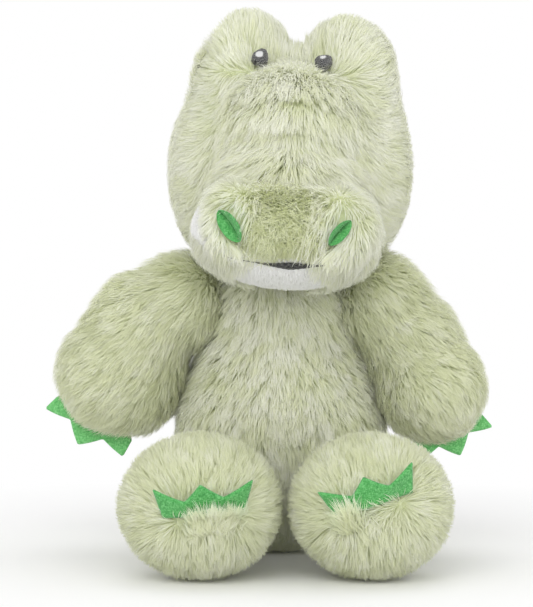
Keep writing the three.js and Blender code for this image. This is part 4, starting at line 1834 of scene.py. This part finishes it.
    def clear(self, coat: Coat) -> NDArray[np.bool_]:
        """Which strands leave the middle of each felt leaf in view.

        Args:
            coat: Strands.

        Returns:
            False for a strand that crosses a leaf's middle.
        """
        kept = np.ones(len(coat.roots), bool)
        for side in Side:
            kept &= (self.leaf_share(coat.paths[:, 1:], side, self.leaf) > 0.8).all(1)
        return kept

    def creases(self, at: Array) -> Array:
        """How near points lie above the two folds that cross the bridge of the snout.

        Args:
            at: Points.

        Returns:
            A share from 0 to 1, which falls over each fold's reach above it and 2 mm below it.
        """
        local = self.form().local(at)
        middle = smooth(26.0, 14.0, np.abs(local[:, 0] + 2.0)) * smooth(20.0, 30.0, -local[:, 1])
        found = np.zeros(len(at))
        for height, reach in FOLDS:
            sag = height + 1.5 * np.cos(local[:, 0] / 9.0)
            gap = local[:, 2] - sag
            found = np.maximum(found, smooth(-2.0, 0.0, gap) * smooth(reach, 0.5, gap))
        return found * middle * (0.75 + 0.25 * np.cos(local[:, 0] / 3.6))

    def build(self, finishes: Finishes, arms: Sequence[Form]) -> None:
        """Makes the cloth, the pile in its zones, the parting, the chin, the eyes, the felt and
        the mouth.

        Args:
            finishes: The toy's finishes.
            arms: The arms' forms, which the pile keeps out of.
        """
        surface = self.build_cloth(finishes)
        form, torso = self.form(), Torso().form()

        def mat(at: Array) -> Array:
            """The share of curly pile, which fills a ragged patch on the snout.

            Args:
                at: Points.

            Returns:
                One share for each point.
            """
            local = form.local(at)
            ragged = local + drift(at, 7.0, self.seed) * 2.5
            wide = smooth(19.0, 9.0, np.abs(ragged[:, 0] + 2.0))
            return wide * smooth(60.0, 70.0, -local[:, 1]) * smooth(63.0, 57.0, ragged[:, 2])

        def weight(at: Array) -> Array:
            """None under the lip, deep in the body, or on an eye or a nostril.

            Args:
                at: Points.

            Returns:
                One share for each point.
            """
            wide = form.local(at)[:, 0]
            fringe = 17.0 * smooth(12.0, 24.0, np.abs(wide + 2.0)) * smooth(-40.0, -36.0, wide)
            fringe = fringe - 0.2 * smooth(12.0, 7.0, np.abs(wide))
            seen = smooth(-7.0, -3.0, torso.distance(at)) * (self.under_lip(at) < fringe)
            return seen * (self.openings(at) > 0.92)

        def long_only(at: Array) -> Array:
            """The long pile's share."""
            return weight(at) * (1.0 - mat(at))

        def lip_trim(at: Array) -> Array:
            """Shorter above the middle of the lip.

            Args:
                at: Points.

            Returns:
                One share for each point.
            """
            local = form.local(at)
            above = smooth(7.0, 2.0, -self.below_lip(at)) * smooth(44.0, 56.0, -local[:, 1])
            return 1.0 - 0.3 * above * smooth(10.0, 6.0, np.abs(local[:, 0] - 2.5))

        def trim(at: Array) -> Array:
            """Shorter round the eyes and nostrils, on the snout and in its folds.

            Args:
                at: Points.

            Returns:
                One share for each point.
            """
            local = form.local(at)
            close = 0.45 + 0.45 * smooth(90.0, 80.0, local[:, 2])
            near = close + (1.0 - close) * smooth(1.0, 2.4, self.openings(at))
            rim = np.exp(-((self.below_lip(at) / 9.0) ** 2)) * smooth(34.0, 48.0, local[:, 2])
            white = rim * smooth(-28.0, -33.0, local[:, 0])
            low = smooth(84.0, 76.0, local[:, 2]) * smooth(62.0, 68.0, local[:, 2])
            near = near * (1.0 + 0.25 * low * smooth(30.0, 16.0, np.abs(local[:, 0])))
            short = 0.28 * smooth(60.0, 72.0, -local[:, 1]) * smooth(70.0, 62.0, local[:, 2])
            short *= smooth(8.0, 15.0, -self.below_lip(at)) * smooth(2.2, 2.8, self.openings(at))
            near = near * (1.0 - short) * (1.0 - 0.6 * self.creases(at)) * (1.0 - 0.6 * white)
            return near * lip_trim(at)

        def tone(at: Array) -> Array:
            """Painted light and shade: paler towards the front, where the light falls, and darker
            in the folds, where shade falls.

            Args:
                at: Points.

            Returns:
                One shift for each point.
            """
            local = form.local(at)
            # Painted light on the front of the head and painted shade in the two folds.
            pale = 0.1 * smooth(30.0, 60.0, -local[:, 1]) - 0.45 * self.creases(at) ** 3
            return pale + 0.33

        clear_of = [(torso, -3.5)] + [(arm, -3.0) for arm in arms]
        coat = grown(surface, Pile(), self.flow, self.seed, long_only, trim, tone, clear_of, form)
        local = form.local(coat.roots)
        back = -local[:, 1] < -2.0
        high = ~back & (local[:, 2] > 96.0)
        face = ~back & ~high & (-local[:, 1] > 34.0)
        sides = ~back & ~high & ~face
        clear = self.clear(coat)
        for name, keep in (("back", back), ("brows", high), ("snout", face), ("cheeks", sides)):
            coat.piece(f"head_fur_{name}", self.body, finishes.fur, keep & clear)

        def matted(at: Array) -> Array:
            """The curly pile's share."""
            return weight(at) * mat(at)

        def deep(at: Array) -> Array:
            """Light and dark patches."""
            return 0.5 * drift(at, 9.0, self.seed)[:, 0]

        curly = Pile(3.6, 9.0, 0.4, 56.0, 16.0, 2.4, 6.0, 0.55, 36.0, 32.0)
        coat = grown(
            surface, curly, self.flow, self.seed + 7, matted, lip_trim, deep, clear_of, form
        )
        coat.piece("head_fur_snout_mat", self.body, finishes.matted, self.clear(coat))
        self.build_parting(surface, finishes)
        self.build_chin(finishes)
        for side in Side:
            self.build_eye(side, finishes)
            self.build_nostril(side, finishes)
        self.build_mouth(finishes)

    def build_parting(self, surface: Surface, finishes: Finishes) -> None:
        """Makes the short, upright tufts that fill the parting between the eyes.

        Args:
            surface: The head's cloth.
            finishes: The toy's finishes.
        """

        def weight(at: Array) -> Array:
            """A short band between the eyes, clear of both.

            Args:
                at: Points.

            Returns:
                One share for each point.
            """
            local = self.form().local(at)
            near = smooth(6.5, 3.5, np.abs(local[:, 2] - 107.5))
            near *= smooth(21.0, 12.0, np.abs(local[:, 0] + 3.0))
            return near * (-local[:, 1] > 10.0) * (self.openings(at) > 1.5)

        def pale(at: Array) -> Array:
            """Painted light: the same pale shift for every point, to lift the shade in the gaps
            between the parting's tufts.
            """
            return none(at) + 0.4

        def flow(at: Array, normal: Array) -> Array:
            """Down, and a little forward."""
            return np.broadcast_to(self.form().way(np.array([0.0, -0.3, -1.0])), at.shape)

        fluff = Pile(3.6, 10.5, 0.45, 66.0, 20.0, 3.4, 8.0, 0.45, 22.0, 6.0)
        coat = grown(surface, fluff, flow, self.seed + 5, weight, even, pale, (), self.form())
        coat.piece("head_fur_parting", self.body, finishes.fur)

    def chin_surface(self, inset: float, turns: Array, falls: Array) -> Array:
        """The chin on a grid of rays: turned about the lip's normal, and tilted towards it.

        Args:
            inset: The depth below the form's surface.
            turns: Degrees round the lip's normal.
            falls: Degrees down from the lip's plane.

        Returns:
            A grid of points, a row for each fall.
        """
        form, down = self.form(), self.lip_down
        slope = math.radians(self.lip_slope)
        high = self.lip_height + (self.lip_front - self.throat) * math.tan(slope)
        start = form.placed(np.array([0.0, -self.throat - 4.0, high - 4.8])) + down * 0.8
        ahead = form.way(np.array([0.0, -math.cos(slope), -math.sin(slope)]))
        turn, fall = (grid[..., None] for grid in np.meshgrid(turns, falls))
        flat = turned(np.broadcast_to(ahead, (*turn.shape[:2], 3)), down, turn)
        ways = flat * np.cos(np.radians(fall)) + down * np.sin(np.radians(fall))
        local = form.local(form.along(start, ways, inset))
        proud = 1.9 * smooth(-31.0, -36.0, local[..., 0]) * smooth(34.0, 42.0, local[..., 2])
        tucked = 7.0 * smooth(44.0, 37.0, -local[..., 1])
        return form.along(start, ways, inset - proud + tucked)

    def build_chin(self, finishes: Finishes) -> None:
        """Makes the white cloth under the lip and its short pile: the sheet between two depths
        on the same rays, with strands that hang from it.

        Args:
            finishes: The toy's finishes.
        """
        turns, falls = np.linspace(88.0, -88.0, 97), np.linspace(0.0, 62.0, 33)
        front, back = (self.chin_surface(depth, turns, falls) for depth in self.chin_depths)
        made = slab("chin_cloth", front, back)
        dressed(made, finishes.white_cloth, self.body, "chin_panel")

        def flow(at: Array, normal: Array) -> Array:
            """Down from the lip."""
            return np.broadcast_to(self.lip_down, at.shape)

        short = Pile(3.0, 2.3, 0.5, 75.0, 48.0, 1.4, 5.0, 0.3, 30.0, 0.0, 2)
        coat = grown(Surface(front, False), short, flow, self.seed + 9, even, even, none)
        coat.piece("chin_pile", self.body, finishes.white_pile)

    def build_eye(self, side: Side, finishes: Finishes) -> None:
        """Makes a sewn eye: a low oval dome of thread with ridges along its stitches.

        At a radius r from 0 to 1 the dome rises by its height times the root of 1 - r², plus a
        cosine across the stitches that fades at the rim. Round its angle the outline swells by
        two cosines, one for its three soft corners and one for the ends of the stitches.

        Args:
            side: Which eye.
            finishes: The toy's finishes.
        """
        middle, out = self.eye(side)
        middle = middle - out * 1.6
        lean = self.form().way(np.array([0.25 + 0.1 * side.value, 0.0, 1.0]))
        tall = unit((lean - out * (lean @ out))[None])[0]
        wide = np.cross(tall, out)
        steps = np.linspace(0.0, 2.0 * math.pi, 72, endpoint=False)
        radius, angle = np.meshgrid(np.linspace(0.0, 1.0, 22), steps, indexing="ij")
        a, b = radius * np.cos(angle), radius * np.sin(angle)
        half_wide, half_tall = self.eye_half
        ridge = 0.14 * np.cos(b * half_tall * 2.0 * math.pi / 0.8 + a * 0.8)
        dome = self.eye_dome * np.sqrt(np.maximum(1.0 - radius**2, 0.0)) + ridge * (1.0 - radius**6)
        top = math.radians(68.0 - 8.0 * side.value)
        corner = 1.0 + 0.09 * np.cos(3.0 * (angle - top)) + 0.02 * np.cos(11.0 * angle)
        flat = middle + wide * (a * corner * half_wide)[..., None]
        flat = flat + tall * (b * corner * half_tall)[..., None]
        front = flat + out * dome[..., None]
        behind = (flat - out * 3.0)[::-1]
        places = np.concatenate([front, behind])
        spots = np.stack([0.5 + 0.46 * a, 0.5 + 0.46 * b], -1)
        spots = np.concatenate([spots, spots[::-1]])
        made = closed_shell(f"{side.word}_eye_thread", Surface(places), spots)
        dressed(made, finishes.eyes[side], self.body, f"{side.word}_eye")

    def build_nostril(self, side: Side, finishes: Finishes) -> None:
        """Makes a folded felt leaf: deepest along its middle, with its edges rolled out.

        At v from -1 to 1 along it, its half width is (1 - |v| to a power of 2.3) to a power of
        0.75. At u from -1 to 1 across it, it sinks by its depth times 1 - |u|, plus a narrow
        bell curve for the fold.

        Args:
            side: Which nostril.
            finishes: The toy's finishes.
        """
        middle, out, along, across = self.nostril(side)
        v, u = np.meshgrid(np.linspace(-1.0, 1.0, 33), np.linspace(-1.0, 1.0, 25), indexing="ij")
        swell = np.maximum(1.0 - np.abs(v) ** 2.3, 0.0) ** 0.75 * 0.97 + 0.03
        slit = 1.4 * np.exp(-((u / 0.13) ** 2))
        depth = -swell * (self.leaf_depth * (1.0 - np.abs(u)) + slit)
        size = self.leaf_size(side)
        places = middle + along * (self.leaf[0] * size * v)[..., None]
        places = places + across * (self.leaf[1] * size**2 * u * swell)[..., None]
        front = places + out * depth[..., None]
        back = places + out * (depth - self.leaf_thick)[..., None]
        made = slab(f"{side.word}_nostril_felt", front, back)
        dressed(made, finishes.felt, self.body, f"{side.word}_nostril")

    def build_mouth(self, finishes: Finishes) -> None:
        """Makes the sewn line of the mouth: a cord of satin stitches under the lip.

        An oval ring is carried along the lip. Its size is 1 less the distance from the line's
        middle to a power of 1.5, all to a power of 4, plus a cosine for each stitch.

        Args:
            finishes: The toy's finishes.
        """
        turns = np.linspace(*self.mouth_turns, 64)
        path = self.chin_surface(2.7, turns, np.array([2.0]))[0]
        along = unit(np.gradient(path, axis=0))
        side = unit(np.cross(along, self.lip_down))
        other = np.cross(along, side)
        angle = np.linspace(0.0, 2.0 * math.pi, 17)[:-1]
        middle = np.maximum(1.0 - np.abs((turns + 2.5) / 27.0) ** 1.5, 0.0)
        wave = 0.12 + 1.4 * middle**4 + 0.06 * np.cos(np.arange(64) * 2.0 * math.pi / 3.0)
        wave[[0, -1]] = 0.02
        low, tall = self.mouth_half
        ring = side[:, None] * np.cos(angle)[None, :, None] * low
        ring = ring + other[:, None] * np.sin(angle)[None, :, None] * tall
        spots = np.stack(np.meshgrid(angle / 7.0, np.linspace(0.0, 1.0, len(turns))), -1)
        places = path[:, None] + ring * wave[:, None, None]
        made = closed_shell("mouth_thread", Surface(places), spots)
        dressed(made, finishes.mouth, self.body, "mouth_stitch")


@dataclass(frozen=True)
class Studio:
    """A pale floor, soft light from above and in front, and the photograph's camera."""

    camera: Triple = (6.01, -1285.67, 180.9)
    tilt: float = -2.87
    lens: float = 163.1
    shift: float = -0.0239
    key: float = 20.0
    fill: float = 10.0
    top: float = 4.0
    sky: float = 0.7
    floor_reach: float = 6000.0

    def build(self) -> None:
        """Makes the floor, the sky, the lamps and the camera."""
        scene = bpy.context.scene
        scene.view_settings.view_transform = "Standard"
        self.floor()
        self.world()
        self.lamp("key_lamp", (-0.5, -1.9, 1.1), 1.6, self.key)
        self.lamp("fill_lamp", (0.9, -1.8, 0.5), 1.5, self.fill)
        self.lamp("top_lamp", (0.1, 0.4, 1.7), 1.3, self.top)
        data = bpy.data.cameras.new("photo_camera")
        data.lens, data.shift_x, data.clip_end = self.lens, self.shift, 50.0
        camera = bpy.data.objects.new("photo_camera", data)
        camera.location = [value * MM for value in self.camera]
        camera.rotation_euler = (math.radians(90.0 + self.tilt), 0.0, 0.0)
        scene.collection.objects.link(camera)
        scene.camera = camera

    def floor(self) -> None:
        """A wide floor that fades to plain white away from the toy."""
        corners = np.array([[-1, -1, 0], [1, -1, 0], [1, 1, 0], [-1, 1, 0]]) * self.floor_reach
        floor = mesh_object("studio_floor", corners, np.arange(4), np.array([4]))
        material = bpy.data.materials.new("studio_white")
        material.use_nodes = True
        tree = Tree(material.node_tree)
        shader = material.node_tree.nodes["Principled BSDF"]
        shader.inputs["Base Color"].default_value = (0.97, 0.97, 0.97, 1.0)
        shader.inputs["Roughness"].default_value = 0.9
        place = tree.add("ShaderNodeTexCoord").outputs["Object"]
        away = tree.add("ShaderNodeVectorMath", {0: place}, operation="LENGTH").outputs["Value"]
        far = tree.add("ShaderNodeMapRange", {0: away, 1: 0.13, 2: 0.3}).outputs[0]
        camera_ray = tree.add("ShaderNodeLightPath").outputs["Is Camera Ray"]
        glow = tree.add("ShaderNodeEmission", {0: (1.0, 1.0, 1.0, 1.0), 1: 1.0})
        both = {0: tree.math("MULTIPLY", far, camera_ray), 1: shader.outputs[0], 2: glow.outputs[0]}
        mixed = tree.add("ShaderNodeMixShader", both).outputs[0]
        tree.link(mixed, material.node_tree.nodes["Material Output"].inputs["Surface"])
        floor.data.materials.append(material)

    def world(self) -> None:
        """A white sky: plain white to the camera, gloss and glass, and softer as light."""
        world = bpy.data.worlds.new("studio_sky")
        world.use_nodes = True
        bpy.context.scene.world = world
        tree = Tree(world.node_tree)
        rays = tree.add("ShaderNodeLightPath").outputs
        seen = tree.math("MAXIMUM", rays["Is Camera Ray"], rays["Is Glossy Ray"])
        seen = tree.math("MAXIMUM", seen, rays["Is Transmission Ray"])
        level = tree.math("ADD", tree.math("MULTIPLY", seen, 1.0 - self.sky), self.sky)
        background = world.node_tree.nodes["Background"]
        background.inputs["Color"].default_value = (1.0, 1.0, 1.0, 1.0)
        tree.link(level, background.inputs["Strength"])

    def lamp(self, name: str, place: Triple, size: float, watts: float) -> None:
        """One square lamp, turned towards the toy.

        Args:
            name: The lamp's name.
            place: Where it hangs, in metres.
            size: The square's side, in metres.
            watts: Its power.
        """
        data = bpy.data.lights.new(name, "AREA")
        data.shape, data.size, data.energy = "SQUARE", size, watts
        lamp = bpy.data.objects.new(name, data)
        lamp.location = place
        way = np.array([0.0, 0.0, 0.12]) - np.array(place)
        flat = math.hypot(way[0], way[1])
        lamp.rotation_euler = (
            math.pi / 2.0 + math.atan2(way[2], flat),
            0.0,
            math.atan2(way[1], way[0]) - math.pi / 2.0,
        )
        bpy.context.scene.collection.objects.link(lamp)


def main() -> None:
    """Builds the studio and every part of the toy, in order."""
    logging.basicConfig(level=logging.INFO, format="%(name)s %(message)s")
    Studio().build()
    finishes = Finishes()
    torso, head, tail = Torso(), Head(), Tail()
    arms = [
        Arm("right_arm", "right_arm", 21),
        Arm(
            "left_arm",
            "left_arm",
            22,
            side=Side.LEFT,
            upper=Bone(24.5, 37.0),
            fore=Bone(26.0, 23.0, 30.0),
            elbow_size=(50.0, 56.0, 50.0),
            palm_size=(52.5, 60.0, 53.5),
            claw_turn=23.0,
            blend=5.5,
        ),
    ]
    legs = [
        Leg("right_leg", "right_leg", 31, side=Side.RIGHT, claw_turn=6.0, claw_roll=-5.0),
        Leg(
            "left_leg",
            "left_leg",
            32,
            side=Side.LEFT,
            claw_turn=1.0,
            claw_roll=-17.0,
            claw_lift=4.0,
            toe_middle=0.26,
            toe_half=0.14,
            toe_length=18.0,
        ),
    ]
    arm_forms, leg_forms = [arm.form() for arm in arms], [leg.form() for leg in legs]
    torso.build(finishes, [*arm_forms, *leg_forms, tail.form()], head.form())
    for arm in arms:
        arm.build(finishes, [head.form(), *leg_forms])
    for leg, other in zip(legs, reversed(leg_forms)):
        leg.build(finishes, [other])
    tail.build(finishes)
    head.build(finishes, arm_forms)


if __name__ == "__main__":
    main()
